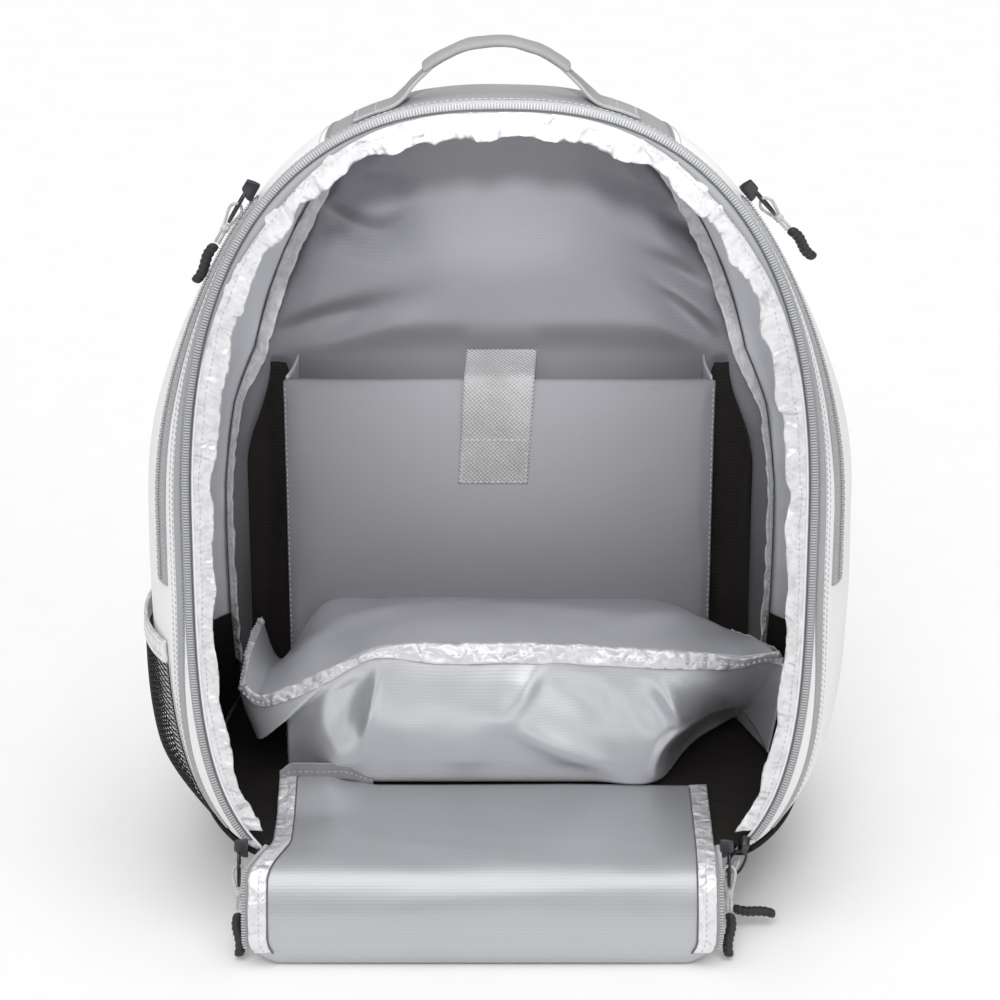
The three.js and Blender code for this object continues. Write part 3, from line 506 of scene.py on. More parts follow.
def round_piece(name, surface, around, along, finish, stands_for=()):
    """A closed round piece: surface(u, v) with u round it and v along it, drawn together at both ends."""
    build = bmesh.new()
    build.loops.layers.uv.new("cloth")
    bmesh.ops.create_grid(build, x_segments=around, y_segments=along, size=0.5, calc_uvs=True)
    wide, high = cut_size(surface)
    lay(build, surface, wide, high)
    bmesh.ops.remove_doubles(build, verts=build.verts, dist=2e-6)
    bmesh.ops.recalc_face_normals(build, faces=build.faces)
    return from_build(name, build, finish, stands_for)


def normals(surface, u, v, step=2e-3):
    """The way out of a surface at u, v."""
    across = surface(np.minimum(1, u + step), v) - surface(np.maximum(0, u - step), v)
    along = surface(u, np.minimum(1, v + step)) - surface(u, np.maximum(0, v - step))
    return unit(np.cross(across, along))


def pad_surface(middle, half, edge_u=0.06, edge_v=0.06, extra=None):
    """Both faces of a pad round its middle sheet, rounded to nothing at the border."""
    def rounding(k, width):
        near = np.clip(np.minimum(k, 1 - k) / width, 0, 1)
        return np.sqrt(np.maximum(0, 1 - (1 - near) ** 2))

    def surface(w, v):
        side = np.where(w < 0.5, 1.0, -1.0)
        u = np.where(w < 0.5, 2 * w, 2 - 2 * w)
        u, k = 0.5 - 0.5 * np.cos(np.pi * u), 0.5 - 0.5 * np.cos(np.pi * v)
        thick = half * rounding(u, edge_u) * rounding(k, edge_v)
        if extra is not None:
            thick = thick * (1 + extra(u, k))
        inside = np.clip(u, 1e-3, 1 - 1e-3), np.clip(k, 1e-3, 1 - 1e-3)
        return middle(u, k) + normals(middle, *inside) * (side * thick)[..., None]
    return surface


def pad(name, middle, half, columns, ranks, finish, slot, stands_for, fill, cap, voxel=5.0, **edges):
    """A padded piece: two cloths sewn round their border, then blown up by a short cloth simulation."""
    made = round_piece(name, pad_surface(middle, half, **edges), columns * 2, ranks, finish,
                       stands_for)
    swell(made, cap, voxel)
    return made


SWELL_FRAMES, SWELL_PRESSURE = 20, 4


def swell(piece, cap, voxel):
    """Blows a pad up inside its cloth, no point moving further than cap millimetres."""
    scene = bpy.context.scene
    bpy.ops.object.select_all(action="DESELECT")
    bpy.context.view_layer.objects.active = piece
    piece.select_set(True)
    piece.data.remesh_voxel_size = voxel * MM
    bpy.ops.object.voxel_remesh()
    start = np.empty(len(piece.data.vertices) * 3)
    piece.data.vertices.foreach_get("co", start)
    soft = piece.modifiers.new("Swell", "CLOTH")
    soft.settings.quality = 4
    soft.settings.use_pressure = True
    soft.settings.uniform_pressure_force = SWELL_PRESSURE
    soft.settings.effector_weights.gravity = 0
    for step in range(1, SWELL_FRAMES + 1):
        scene.frame_set(step)
    evaluated = piece.evaluated_get(bpy.context.evaluated_depsgraph_get())
    blown = np.empty_like(start)
    evaluated.data.vertices.foreach_get("co", blown)
    piece.modifiers.remove(soft)
    scene.frame_set(1)
    move = (blown - start).reshape(-1, 3)
    far = np.linalg.norm(move, axis=1, keepdims=True)
    move *= np.minimum(1, cap * MM / np.maximum(far, 1e-9))
    piece.data.vertices.foreach_set("co", (start.reshape(-1, 3) + move).ravel())
    piece.data.update()
    piece.data.shade_smooth()
    smooth = piece.modifiers.new("Smooth", "SUBSURF")
    smooth.levels = smooth.render_levels = 1


def tube(name, points, radius, finish, stands_for=(), closed=False, sides=2):
    """A round bar, wire, piping or cord along points in bag millimetres."""
    data = bpy.data.curves.new(name, "CURVE")
    data.dimensions = "3D"
    data.bevel_depth = radius * MM
    data.bevel_resolution = sides
    data.use_fill_caps = not closed
    line = data.splines.new("POLY")
    places = metres(points)
    line.points.add(len(places) - 1)
    line.points.foreach_set("co", np.c_[places, np.ones(len(places))].ravel())
    line.use_cyclic_u = closed
    line.use_smooth = True
    return add_piece(name, data, finish, stands_for)


def places_along(surface, u, v, pitch, lift=0.0, side=1.0):
    """Evenly spaced places on a surface along u, v: point, heading, across and out."""
    u, v = np.broadcast_arrays(np.asarray(u, float), np.asarray(v, float))
    line = surface(u, v)
    run = np.concatenate([[0], np.cumsum(np.linalg.norm(np.diff(line, axis=0), axis=1))])
    at = np.arange(pitch / 2, run[-1], pitch)
    at_u, at_v = np.interp(at, run, u), np.interp(at, run, v)
    point = surface(at_u, at_v)
    ahead = np.stack([np.interp(at + 0.5, run, c) - np.interp(at - 0.5, run, c) for c in line.T], -1)
    out = normals(surface, at_u, at_v) * side
    heading = unit(ahead - out * (ahead * out).sum(1, keepdims=True))
    return point + out * lift, heading, np.cross(out, heading), out


def scatter(name, seed, places, finish, stands_for=()):
    """Copies one small shape to many places, as one mesh."""
    shape = np.array([v.co for v in seed.verts])
    seed.verts.index_update()
    faces = [np.array([v.index for v in f.verts]) for f in seed.faces]
    seed.free()
    point, heading, across, out = [np.concatenate(part) for part in zip(*places)]
    spots = (point[:, None] + shape[None, :, 0:1] * heading[:, None] + shape[None, :, 1:2] * across[:, None]
             + shape[None, :, 2:3] * out[:, None])
    data = bpy.data.meshes.new(name)
    first = np.arange(len(point)) * len(shape)
    data.from_pydata(metres(spots.reshape(-1, 3)), [], [(f + k).tolist() for k in first for f in faces])
    data.shade_smooth()
    return add_piece(name, data, finish, stands_for)


def bead(length, width, height, around=6, rings=4):
    """One stitch or one turn of a zip coil: a small rounded bead along X."""
    seed = bmesh.new()
    bmesh.ops.create_uvsphere(seed, u_segments=around, v_segments=rings, radius=0.5)
    bmesh.ops.rotate(seed, verts=seed.verts, matrix=Matrix.Rotation(math.pi / 2, 3, "Y"))
    bmesh.ops.scale(seed, verts=seed.verts, vec=(length, width, height))
    bmesh.ops.recalc_face_normals(seed, faces=seed.faces)
    return seed


def sew(name, looks, lines, finish, length=2.3, thick=0.75):
    """Rows of stitches along lines on surfaces: (surface, u, v, lift, side)."""
    pitch = looks.stitch * 1000
    places = [places_along(surface, u, v, pitch, lift, side) for surface, u, v, lift, side in lines]
    return scatter(name, bead(length, thick, 0.55), places, finish)


# Walls, linings and seams of the bag
TOP_SEAM, SEAM_GAP = 0.41, 0.0004
LINING_DEPTH, LINING_WALL, LINING_END, PAINTED_SHADE_SHEET_DEPTH = 2.75, 1.2, 87.6, 5.8
SPANS = (("side", "_left", 0.0, TOP_SEAM - SEAM_GAP, 90), ("top", "", TOP_SEAM, 1 - TOP_SEAM, 46),
         ("side", "_right", 1 - TOP_SEAM + SEAM_GAP, 1.0, 90))


def wall_surface(s0, s1, relief=0.35, seed=1.0):
    def surface(u, v):
        s = lerp(s0, s1, u)
        border = np.minimum(1, 12 * np.minimum(v, 1 - v)) * np.minimum(1, 20 * np.minimum(u, 1 - u))
        return shell(s, v, -relief * border * crumple(s * ARCH_LENGTH, v * WALL_DEPTH, 60, seed))
    return surface


def drawn_in(s):
    """How far the side lining is drawn in to the seam of the back, most at the shoulders of the bag."""
    return np.interp(RIM.at(s)[1], (150, 205, 245, 295, 340, 400), (0, 3, 9.5, 8.5, 7, 0))


def lining_surface(s0, s1, seed):
    def surface(u, v):
        s, t = lerp(s0, s1, u), v * shell_share(LINING_END)
        border = np.minimum(1, 9 * np.minimum(v, 1 - v))
        border = border * smoothstep(np.minimum(s, 1 - s), 0.1, 0.16)
        mm = s * ARCH_LENGTH
        fold = 1.6 * pinched(mm, v * 60, 46, seed) + 1.1 * (1 + crumple(mm, v * WALL_DEPTH, 34, seed + 3))
        depth = LINING_DEPTH + LINING_WALL + 0.3 + border * fold + drawn_in(s) * smoothstep(v, 0.4, 0.93)
        return shell(s, t, depth)
    return surface


def painted_shade_low_sheet(left):
    """A charcoal sheet low on a side wall, painted shade of the deep bottom of the bag: highest at the
    opening and lower towards the back.
    """
    heights = np.linspace(0.0, 0.3, 200)

    def surface(u, v):
        t = lerp(0.03, shell_share(LINING_END), u)
        s = np.interp(lerp(8, lerp(104, 58, u), v), RIM.at(heights)[1], heights)
        fold = 0.5 * crumple(s * ARCH_LENGTH, t * WALL_DEPTH, 20, 6 + left)
        return shell(s if left else 1 - s, t, PAINTED_SHADE_SHEET_DEPTH + fold)
    return surface


def tape_low(s):
    """Where the zip's outer tape starts on the wall: it leaves the coil towards the two lower ends."""
    return 0.009 + 0.045 * (1 - smoothstep(np.minimum(s, 1 - s), 0.02, 0.15))


class BackpackWalls(bpy.types.Operator):
    """Outer side panels, top panel, their linings and the two rows of top stitching"""

    bl_idname = "backpack.walls"
    bl_label = "Walls and linings"

    def execute(self, context):
        looks, finish = supplies(context)
        for k, (side, suffix, s0, s1, columns) in enumerate(SPANS):
            outer, slot = ("outer", "light_polyester") if side == "side" else ("top", "grey_polyester")
            panel = cloth(f"{side}_cloth{suffix}", wall_surface(s0, s1, 0.5, k + 1), columns, 44, 2.0,
                          finish[outer], "out", [f"{side}_panel{suffix}"])
            declare(panel)
            lining = cloth(f"{side}_satin{suffix}", lining_surface(s0, s1, k + 5), columns + 40, 60,
                           LINING_WALL, finish["side"], "in", [f"{side}_lining{suffix}"])
            declare(lining)
            if side == "side":
                # A dark sheet low on each side wall: painted shade where the bottom of the bag lies deep in
                # shadow.
                low = cloth(f"painted_shade_low_sheet{suffix}", painted_shade_low_sheet(k == 0), 60, 40, 0.8, finish["charcoal"],
                            "in")
                declare(low)

        def outside(u, v):
            return shell(u, v, -0.15)
        s = np.linspace(0.02, 0.98, 600)
        lines = [(outside, s, tape_low(s) + 0.022 + row, 0.1, 1) for row in (0.008, 0.021)]
        sew("opening_topstitch", looks, lines, finish["thread"])
        t = np.linspace(0.03, 0.97, 60)
        lines = [(outside, at, t, 0.1, 1) for at in (TOP_SEAM - 0.004, 1 - TOP_SEAM + 0.004)]
        sew("top_seam_stitch", looks, lines, finish["thread"])
        for label, at in (("left", TOP_SEAM), ("right", 1 - TOP_SEAM)):
            seam = shell(at, np.linspace(0.004, 0.99, 60), 0.1)
            tube(f"top_seam_{label}", seam, 0.7, finish["top"])
        return {"FINISHED"}


class BackpackBase(bpy.types.Operator):
    """Base panel, its lining and the black piping round its foot"""

    bl_idname = "backpack.base"
    bl_label = "Base"

    def execute(self, context):
        finish = supplies(context)[1]

        def plate(depth, front, back, z):
            def surface(u, v):
                y = lerp(front, back, v)
                x = shell(1.0, np.clip(shell_share(y), 0, 1), depth)[..., 0]
                return rows(lerp(-x, x, u), y, z + 0 * u)
            return surface
        under = cloth("base_cloth", plate(-0.6, -99.6, 99, 0), 30, 24, 3.0, finish["charcoal"],
                      (0, 0, -1), ["base_panel"])
        declare(under)
        floor = cloth("base_satin", plate(6.4, -97, 84, 4.95), 40, 30, 1.2, finish["charcoal"],
                      (0, 0, 1), ["base_lining"])
        declare(floor)
        t = np.linspace(0.012, 1, 60)
        left, right = shell(0.0, t, -1.2), shell(1.0, t, -1.2)
        left[:, 2] = right[:, 2] = 2.4
        piping = Line(np.vstack([left[:-2], rows(np.linspace(-145, 145, 12), 99.6, 2.4), right[-3::-1]]))
        tube("base_piping", piping.at(np.linspace(0, 1, 260)), 1.5, finish["charcoal"])
        return {"FINISHED"}


BACK_LINING_Y = 86.9
# Folds of the back lining: place x, z, turn, half length, half width, height towards the viewer.
BACK_FOLDS = (
    (-77, 318, 6, 34, 7, -4), (-89, 299, -35, 26, 8, -8), (-74, 291, -8, 26, 8, -7),
    (-59, 295, 40, 20, 8, -5), (-97, 235, 22, 56, 9, -9), (-122, 224, 20, 40, 11, -5),
    (94, 299, -37, 38, 7, -8), (99, 265, -34, 34, 7, -8), (104, 239, -43, 44, 7, -9),
    (104, 284, -36, 40, 6, 2.0), (106, 252, -38, 40, 6, 2.0),
)


def back_lining(u, v):
    """The satin of the back: flat behind the sleeve, folded and crowned above it."""
    s = 0.485 * v ** 0.85
    t = shell_share(BACK_LINING_Y)
    left, right = shell(s, t, 4.6), shell(1 - s, t, 4.6)
    spot = left + (right - left) * u[..., None]
    x, z = spot[..., 0], spot[..., 2]
    above = smoothstep(z, 216, 240)
    border = smoothstep(np.minimum(u, 1 - u), 0, 0.13) * smoothstep(1 - v, 0, 0.12)
    crown = 20 * np.exp(-(x / 70) ** 2) * smoothstep(z, 216, 290)
    folds = ridge(x, z, BACK_FOLDS) + 0.5 * crumple(x, z, 55, 4)
    stand = 7 + folds + crown
    stand = np.where(stand > 2, stand, 2 * np.exp(np.minimum(0, stand / 2 - 1)))
    spot[..., 1] = BACK_LINING_Y - 1.2 - above * border * stand
    return spot


class BackpackBack(bpy.types.Operator):
    """Padded back panel and the satin back lining"""

    bl_idname = "backpack.back"
    bl_label = "Back panel"

    def execute(self, context):
        finish = supplies(context)[1]
        lining = cloth("back_satin", back_lining, 150, 120, 1.2, finish["lining"], (0, -1, 0),
                       ["back_lining"])
        declare(lining)

        def middle(u, v):
            s = 0.003 + 0.487 * v
            left, right = shell(s, 1.0, 4.2), shell(1 - s, 1.0, 4.2)
            spot = left + (right - left) * u[..., None]
            spot[..., 1] = 93.4
            return spot

        def channels(u, v):
            return -0.55 * np.exp(-((np.abs(u - 0.5) - 0.17) / 0.012) ** 2) * smoothstep(v, 0.02, 0.1)
        pad("back_pad", middle, 4.6, 60, 70, finish["outer_pad"], "light_polyester", ["back_panel"], 0.5,
            1.5, edge_u=0.03, edge_v=0.03, extra=channels)
        return {"FINISHED"}


# Zips and bindings
ZIP_FROM, ZIP_TO = 0.008, 0.992


def teeth_places(surface, u, v, looks, lift, side=1.0):
    """Places for the turns of a coil, each lying across the zip."""
    point, heading, across, out = places_along(surface, u, v, looks.tooth * 1000, lift, side)
    return point, across, -heading, out


class BackpackMainZip(bpy.types.Operator):
    """Main zip: twill tape outside, coil on the edge and plain tape inside"""

    bl_idname = "backpack.main_zip"
    bl_label = "Main zip"

    def execute(self, context):
        looks, finish = supplies(context)

        def outer_tape(u, v):
            s = lerp(ZIP_FROM, ZIP_TO, u)
            edge = 0.35 + 0.9 * np.sin(np.pi * np.clip(v, 0, 1)) ** 0.5
            return shell(s, tape_low(s) + 0.024 * v, -edge)
        outer = cloth("main_zip_tape", outer_tape, 420, 4, 0.7, finish["tape"], "out",
                      ["main_zip"])

        def inner_tape(u, v):
            s = lerp(ZIP_FROM, ZIP_TO, u)
            spot = shell(s, 0.0, lerp(-1.6, 3.4 + 4.2 * np.exp(-((np.abs(s - 0.5) - 0.13) / 0.05) ** 2), v))
            spot[..., 1] -= 0.5 + 0.4 * np.sin(np.pi * v)
            return spot
        inner = cloth("main_zip_inner_tape", inner_tape, 360, 3, 0.6, finish["tape_edge"],
                      (0, -1, 0))

        def coil_bed(u, v):
            spot = shell(u, 0.0, lerp(2.6, -2.6, v))
            spot[..., 1] -= 1.5 - 0.7 * (2 * v - 1) ** 2
            return spot

        def zip_bed(u, v):
            return coil_bed(lerp(ZIP_FROM, ZIP_TO, u), lerp(0.06, 0.94, v))
        bed = cloth("main_zip_coil_bed", zip_bed, 420, 4, 0.4, finish["tape_edge"], (0, -1, 0))
        s = np.linspace(ZIP_FROM, ZIP_TO, 2400)
        places = [teeth_places(coil_bed, s, 0.5, looks, 0.25)]
        scatter("main_zip_coil", bead(3.7, 1.15, 1.9, 6, 6), places, finish["coil"])
        # A painted shadow line: a dark tube standing in for the shade of the slit where the inner edge of the
        # tape turns under the coil.
        slit = shell(np.linspace(ZIP_FROM, ZIP_TO, 700), 0.0, 2.5) - (0, 1.4, 0)
        turned = tube("main_zip_painted_shadow_line", slit, 0.32, finish["seam"])
        declare(outer)
        return {"FINISHED"}


def ruffle(s):
    """The long waves of a gathered edge."""
    return 0.6 * np.sin(2 * np.pi * 24 * s) + 0.4 * np.sin(2 * np.pi * 10.7 * s + 1)


def rim_binding(u, v):
    """The gathered binding behind the main zip, widest and most ruffled at the top."""
    s = lerp(0.014, 0.986, u)
    mm = s * ARCH_LENGTH
    top = smoothstep(0.5 - np.abs(s - 0.5), 0.14, 0.32)
    width = 12.8 + 4.4 * top + 1.3 * ruffle(s + 0.4) + (0.9 + 2.2 * top) * crumple(mm, 4, 17, 12, 2)
    spot = shell(s, 0.0, lerp(2.9, width, v))
    fold = (1.0 + 1.6 * top) * (ruffle(s) + 1.2 * crumple(mm, 6 * v, 13, 11, 3))
    pucker = 1.9 * crumple(mm, 7 * v, 6, 13, 2) + 2.2 * pinched(mm, 5 * v, 9, 14)
    spot[..., 1] += 0.2 + 1.4 * v + v ** 1.2 * fold - np.sqrt(v) * pucker
    return spot


# Name, first and last place along the arch, root's y and depth, edge's y, and 1 if drawn in to the back.
SEAM_STRIPS = (
    ("rear_binding_left", 0.03, 0.395, 81, 5.5, 75, 1),
    ("rear_binding_right", 0.605, 0.97, 81, 5.5, 75, 1),
    ("seam_binding_right", 0.62, 0.93, 22, 5.4, 18, 0),
)


def seam_strip(s0, s1, root_y, root_depth, edge_y, drawn, seed):
    def surface(u, v):
        s = lerp(s0, s1, u)
        mm = s * ARCH_LENGTH
        pucker = crumple(mm, 5 * v, 14, seed, 3)
        width = 6 + 3.2 * drawn * smoothstep(drawn_in(s), 2, 8) + 1.2 * pucker
        spot = shell(s, shell_share(lerp(root_y, edge_y, v)), root_depth + drawn * drawn_in(s) + width * v)
        small = 1.2 * crumple(mm, 9 * v, 6, seed + 1)
        spot[..., 1] += v * (1.3 * pucker + small - 0.8 * pinched(mm, 6 * v, 10, seed + 2))
        return spot
    return surface


class BackpackBindings(bpy.types.Operator):
    """Gathered satin binding round the opening and along the inside seams, with its stitches"""

    bl_idname = "backpack.bindings"
    bl_label = "Bindings"

    def execute(self, context):
        looks, finish = supplies(context)
        rim = cloth("rim_satin", rim_binding, 900, 10, 1.0, finish["binding"], (0, -1, 0),
                    ["rim_binding"])
        u = np.linspace(0.01, 0.99, 900)
        sew("rim_stitch", looks, [(rim_binding, u, 0.38, 0.1, -1)], finish["thread"],
            2.0, 0.55)
        lines, strips = [], []
        for k, (name, *cut) in enumerate(SEAM_STRIPS):
            surface = seam_strip(*cut, 20 + 3 * k)
            strips.append(cloth(name.replace("binding", "satin"), surface, 300, 8, 1.0,
                                finish["inner_binding"], (0, -1, 0), [name]))
            lines.append((surface, u, 0.45, 0.1, -1))
            # A dark tube along the root of each strip: a painted shadow line in the turn of its seam.
            root = surface(np.linspace(0, 1, 200), np.zeros(200)) - (0, 0.6, 0)
            strips.append(tube(name.replace("binding", "seam"), root, 0.3, finish["seam"]))
        declare(rim)
        sew("binding_stitch", looks, lines, finish["bright_thread"], 2.0, 0.7)
        return {"FINISHED"}


# Laptop sleeve
SLEEVE_FOOT, SLEEVE_TOP, SLEEVE_LEFT, SLEEVE_RIGHT, SLEEVE_Y = 5.4, 213, -122, 121, 60.8
STRAP_ROUTE = Line([(0, 80.6, 222), (0, 72, 219), (0, 63, 216.4), (0, 57, 214), (0, 54.8, 208),
                    (0, 54.4, 196), (0, 54.4, 174), (0, 54.2, 151)])


def sleeve_strap(u, v):
    spot = STRAP_ROUTE.at(v)
    spot[..., 0] = 1 - 5 * v + (u - 0.5) * 39
    spot[..., 1] -= 0.8
    return spot


class BackpackSleeve(bpy.types.Operator):
    """Padded laptop sleeve with its charcoal backing, gussets, webbing strap and patch"""

    bl_idname = "backpack.sleeve"
    bl_label = "Laptop sleeve"

    def execute(self, context):
        looks, finish = supplies(context)

        def backing(u, v):
            x = lerp(-1, 1, u) * lerp(143, 128, smoothstep(v, 0.7, 1))
            z = lerp(SLEEVE_FOOT, lerp(196, 214, smoothstep(np.abs(x), 115, 120)), v)
            drape = (0.9 * np.sin(x / 2.4 + 1.2 * crumple(x, z, 60, 2)) + 2.4 * pinched(x, z * 0.12, 17, 9)
                     + 0.8 * crumple(x, z * 0.3, 12, 5))
            return rows(x, 82.0 - 2.6 - np.clip(drape, -1.2, 3.2) * smoothstep(np.abs(x), 108, 122), z)
        behind = cloth("sleeve_back_satin", backing, 220, 60, 0.9, finish["charcoal"],
                       (0, -1, 0), ["sleeve_backing"])
        declare(behind)

        def middle(u, v):
            x, z = lerp(SLEEVE_LEFT, SLEEVE_RIGHT, u), lerp(SLEEVE_FOOT, SLEEVE_TOP, v)
            belly = 3.2 * np.sin(np.pi * np.clip(v, 0, 1)) * np.sin(np.pi * np.clip(u, 0, 1)) ** 0.6
            return rows(x, SLEEVE_Y + (0.7 * crumple(x, z, 90, 3) - belly), z)

        def seam(u, v):
            width = SLEEVE_RIGHT - SLEEVE_LEFT
            edge = np.minimum(u * width, (1 - u) * width)
            return -0.4 * np.exp(-((edge - 3.0) / 1.4) ** 2)
        front = pad("sleeve_pad", middle, 3.2, 90, 80, finish["sleeve"], "grey_satin", ["sleeve_panel"],
                    0.5, 1.2, voxel=4.0, edge_u=0.02, edge_v=0.02, extra=seam)

        def face(u, v):
            return middle(u, v) - rows(0 * u, 3.9, 0 * u)
        v = np.linspace(0.02, 0.975, 300)
        lines = [(face, at, v, 0, 1) for at in (0.012, 0.988)]
        sew("sleeve_stitch", looks, lines, finish["thread"], 2.2, 0.7)
        for name, x0, x1 in (("left", -119, -113), ("right", 118, 114)):
            def gusset(u, v, x0=x0, x1=x1):
                y, z = lerp(64.5, 80.5, u), lerp(SLEEVE_FOOT, SLEEVE_TOP + lerp(-1.5, 6, u), v)
                bend = 1.4 * np.sin(np.pi * u) * (1 + 0.5 * crumple(z, y, 25, x1))
                return rows(lerp(x0, x1, u) + bend * np.sign(x0) * -0.6, y, z)
            side = cloth(f"sleeve_side_{name}", gusset, 10, 70, 0.9, finish["bright"],
                         (-1 if x0 < 0 else 1, 0, 0), [f"sleeve_gusset_{name}"])
            declare(side)
        band = cloth("sleeve_webbing", sleeve_strap, 24, 60, 1.6, finish["webbing"],
                     (0, -1, 0.3), ["sleeve_strap"])
        declare(band)
        u = np.linspace(0.04, 0.96, 60)
        v = np.linspace(0.78, 0.985, 60)
        lines = [(sleeve_strap, u, at, 0.15, -1) for at in (0.7, 0.985)]
        lines += [(sleeve_strap, at, v, 0.15, -1) for at in (0.04, 0.96)]
        sew("sleeve_webbing_stitch", looks, lines, finish["thread"], 2.6, 0.8)

        def hook_patch(u, v):
            nap = 0.2 * crumple(u * 40, v * 46, 6, 2)
            return rows(lerp(-19, 17.6, u), 55.6 + nap, lerp(157, 203, v))
        patch = cloth("sleeve_hook_patch", hook_patch, 40, 46, 1.0, finish["net"],
                      (0, -1, 0), ["sleeve_patch"])
        declare(patch)
        return {"FINISHED"}


# Shoe compartment
# Ridge x, y, z, foot x, y, back x, z and the puff of the front, from left to right.
DIVIDER_SECTIONS = (
    (-134, -6, 12, -122, -22, -128, 8, 1), (-143, -17, 57, -126, -24, -136, 68, 1),
    (-129, -26, 58, -121, -29, -125, 42, 2), (-101, -27, 70.5, -102, -31, -100, 77, 6),
    (-66, -25, 88, -66, -31, -66, 80, 11), (-27, -24, 88, -28, -31, -28, 81, 13),
    (14, -24, 89.5, 12, -31, 14, 80, 14), (54, -24, 87.5, 50, -31, 54, 79.6, 11),
    (96, -24, 85, 86, -31, 92, 78, 11), (130, -23, 81, 114, 14, 120, 64, 3),
    (155, -19, 76, 132, 44, 140, 44, 1), (150, -8, 14, 136, 46, 134, 12, 1),
)
DIVIDER_BACK, DIVIDER_FOOT, DIVIDER_CROWN, DIVIDER_SAG = 55.4, 8.0, 5.0, 0.8
# Folds of the front: place x, z, turn, half length, half width, height towards the viewer.
DIVIDER_FOLDS = (
    (-70, 58, 78, 34, 3.0, 2.4), (-84, 56, 66, 34, 9, -5.0), (-88, 28, 104, 30, 12, 3.0),
    (-48, 52, 80, 40, 14, 2.4), (-14, 44, 64, 44, 14, 2.6), (12, 67, 59, 28, 7, 3.6),
    (46, 60, -31, 44, 12, -3.4), (33, 33, -31, 50, 8, 4.0), (60, 54, 92, 36, 2.2, 0.9),
    (84, 56, 118, 22, 8, -4.0), (95, 57, 121, 20, 4.5, 4.2), (122, 58, 120, 26, 8, 2.6),
)
# Folds of its top, pushed up.
DIVIDER_TOP_FOLDS = ((-70, 20, 24, 60, 12, 2.4), (30, 24, -16, 70, 14, 2.2), (96, 16, 30, 50, 12, 2.6))
TUCK_DEPTH, POUCH_DEPTH = 55.0, 16.0


def below_corner(x, z):
    """0 above the slanting line under the divider's left corner, 1 from 6 mm below it."""
    return smoothstep(43.5 + 1.05 * (x + 120) - z, 0, 6)


def tuck(x, z):
    """How far the front goes back under its left corner, from 0 to 1: the corner hangs over it in a cone."""
    return below_corner(x, z) * smoothstep(-x, 117, 124)


def pouch(x, z):
    """How far a place lies from the middle of the round hollow at the lower right, 1 at its lip."""
    reach = np.where(x < 106, 20.0, 36.0)
    return np.sqrt(((x - 106) / reach) ** 2 + ((z - 19) / 21) ** 2)


def divider_section(u):
    """The divider's section at a share of the way from left to right."""
    return catmull(DIVIDER_SECTIONS, u * (len(DIVIDER_SECTIONS) - 1), clamped=True)


def divider(u, v):
    """The slack divider: its top from the back to the crest, then its front down to the foot."""
    u, v = np.broadcast_arrays(np.asarray(u, float), np.asarray(v, float))
    shape = u.shape
    u, v = u.ravel(), v.ravel()
    row = divider_section(u)
    crest = row[:, 0:3]
    foot = rows(row[:, 3], row[:, 4], DIVIDER_FOOT)
    back = rows(row[:, 5], DIVIDER_BACK, row[:, 6])
    puff = row[:, 7]
    k = np.clip(np.where(v <= 0.5, v * 2, v * 2 - 1), 0, 1)
    top = back + (crest - back) * k[:, None]
    x, y = top[:, 0], top[:, 1]
    lift = np.sin(np.pi * k)
    top[:, 2] += lift * (DIVIDER_CROWN + ridge(x, y, DIVIDER_TOP_FOLDS) + 1.2 * crumple(x, y, 40, 3))
    front = crest + (foot - crest) * k[:, None]
    hang = np.sin(np.pi * k ** DIVIDER_SAG)
    x, z = front[:, 0].copy(), front[:, 2]
    held = np.minimum(1, 5 * np.minimum(k, 1 - k))
    deep = pouch(x, z)
    lip = 2.8 * np.exp(-((deep - 1.06) / 0.1) ** 2) * (1 - smoothstep(x, 96, 112))
    folds = 1.35 * ridge(x, z, DIVIDER_FOLDS) + 1.5 * crumple(x, z, 42, 6)
    front[:, 1] -= puff * hang + held * folds + held * lip
    front[:, 1] += TUCK_DEPTH * tuck(x, z) + 11 * below_corner(x, z) * (1 - smoothstep(x, -118, -90))
    front[:, 1] += POUCH_DEPTH * smoothstep(1 - deep, 0, 0.75)
    return np.where((v <= 0.5)[:, None], top, front).reshape(*shape, 3)


def divider_is_deep(u, v):
    """What is cut out: the end left of the bound corner, and the front where it is tucked far back."""
    row = divider_section(u)
    k = np.clip(v * 2 - 1, 0, 1)
    x, z = lerp(row[:, 0], row[:, 3], k), lerp(row[:, 2], DIVIDER_FOOT, k)
    return (u < 0.06) | ((v > 0.5) & (tuck(x, z) > 0.1))


# The binding's way over the corners and along the crest, on a map of the divider in millimetres.
DIVIDER_MAP = np.array([330.0, 175.0])
DIVIDER_BINDING = Line(DIVIDER_MAP * [
    (0.1, 0.04), (0.098, 0.2), (0.1, 0.36), (0.108, 0.48), (0.15, 0.525), (0.3, 0.522), (0.4, 0.522),
    (0.5, 0.526), (0.7, 0.529), (0.86, 0.528), (0.902, 0.5), (0.915, 0.38), (0.905, 0.2), (0.86, 0.07)])


def divider_binding(u, v):
    spot = DIVIDER_BINDING.at(u)
    ahead = unit(DIVIDER_BINDING.at(np.minimum(1, u + 0.004)) - DIVIDER_BINDING.at(np.maximum(0, u - 0.004)))
    narrow = 1 - 0.62 * np.exp(-((spot[..., 0] - 115) / 16) ** 2)
    across = rows(-ahead[..., 1], ahead[..., 0])
    place = (spot + across * ((2 * v - 1) * 4.6 * narrow)[..., None]) / DIVIDER_MAP
    a, b = np.clip(place[..., 0], 0.01, 0.99), np.clip(place[..., 1], 0.01, 0.99)
    out = -normals(divider, a, b, 0.01)
    mm = u * DIVIDER_BINDING.length
    fold = 0.6 + 0.9 * crumple(mm, 9 * v, 11, 31, 3) + 0.5 * np.exp(-(v / 0.14) ** 2)
    return divider(a, b) + out * (0.8 + np.maximum(-0.3, fold))[..., None]


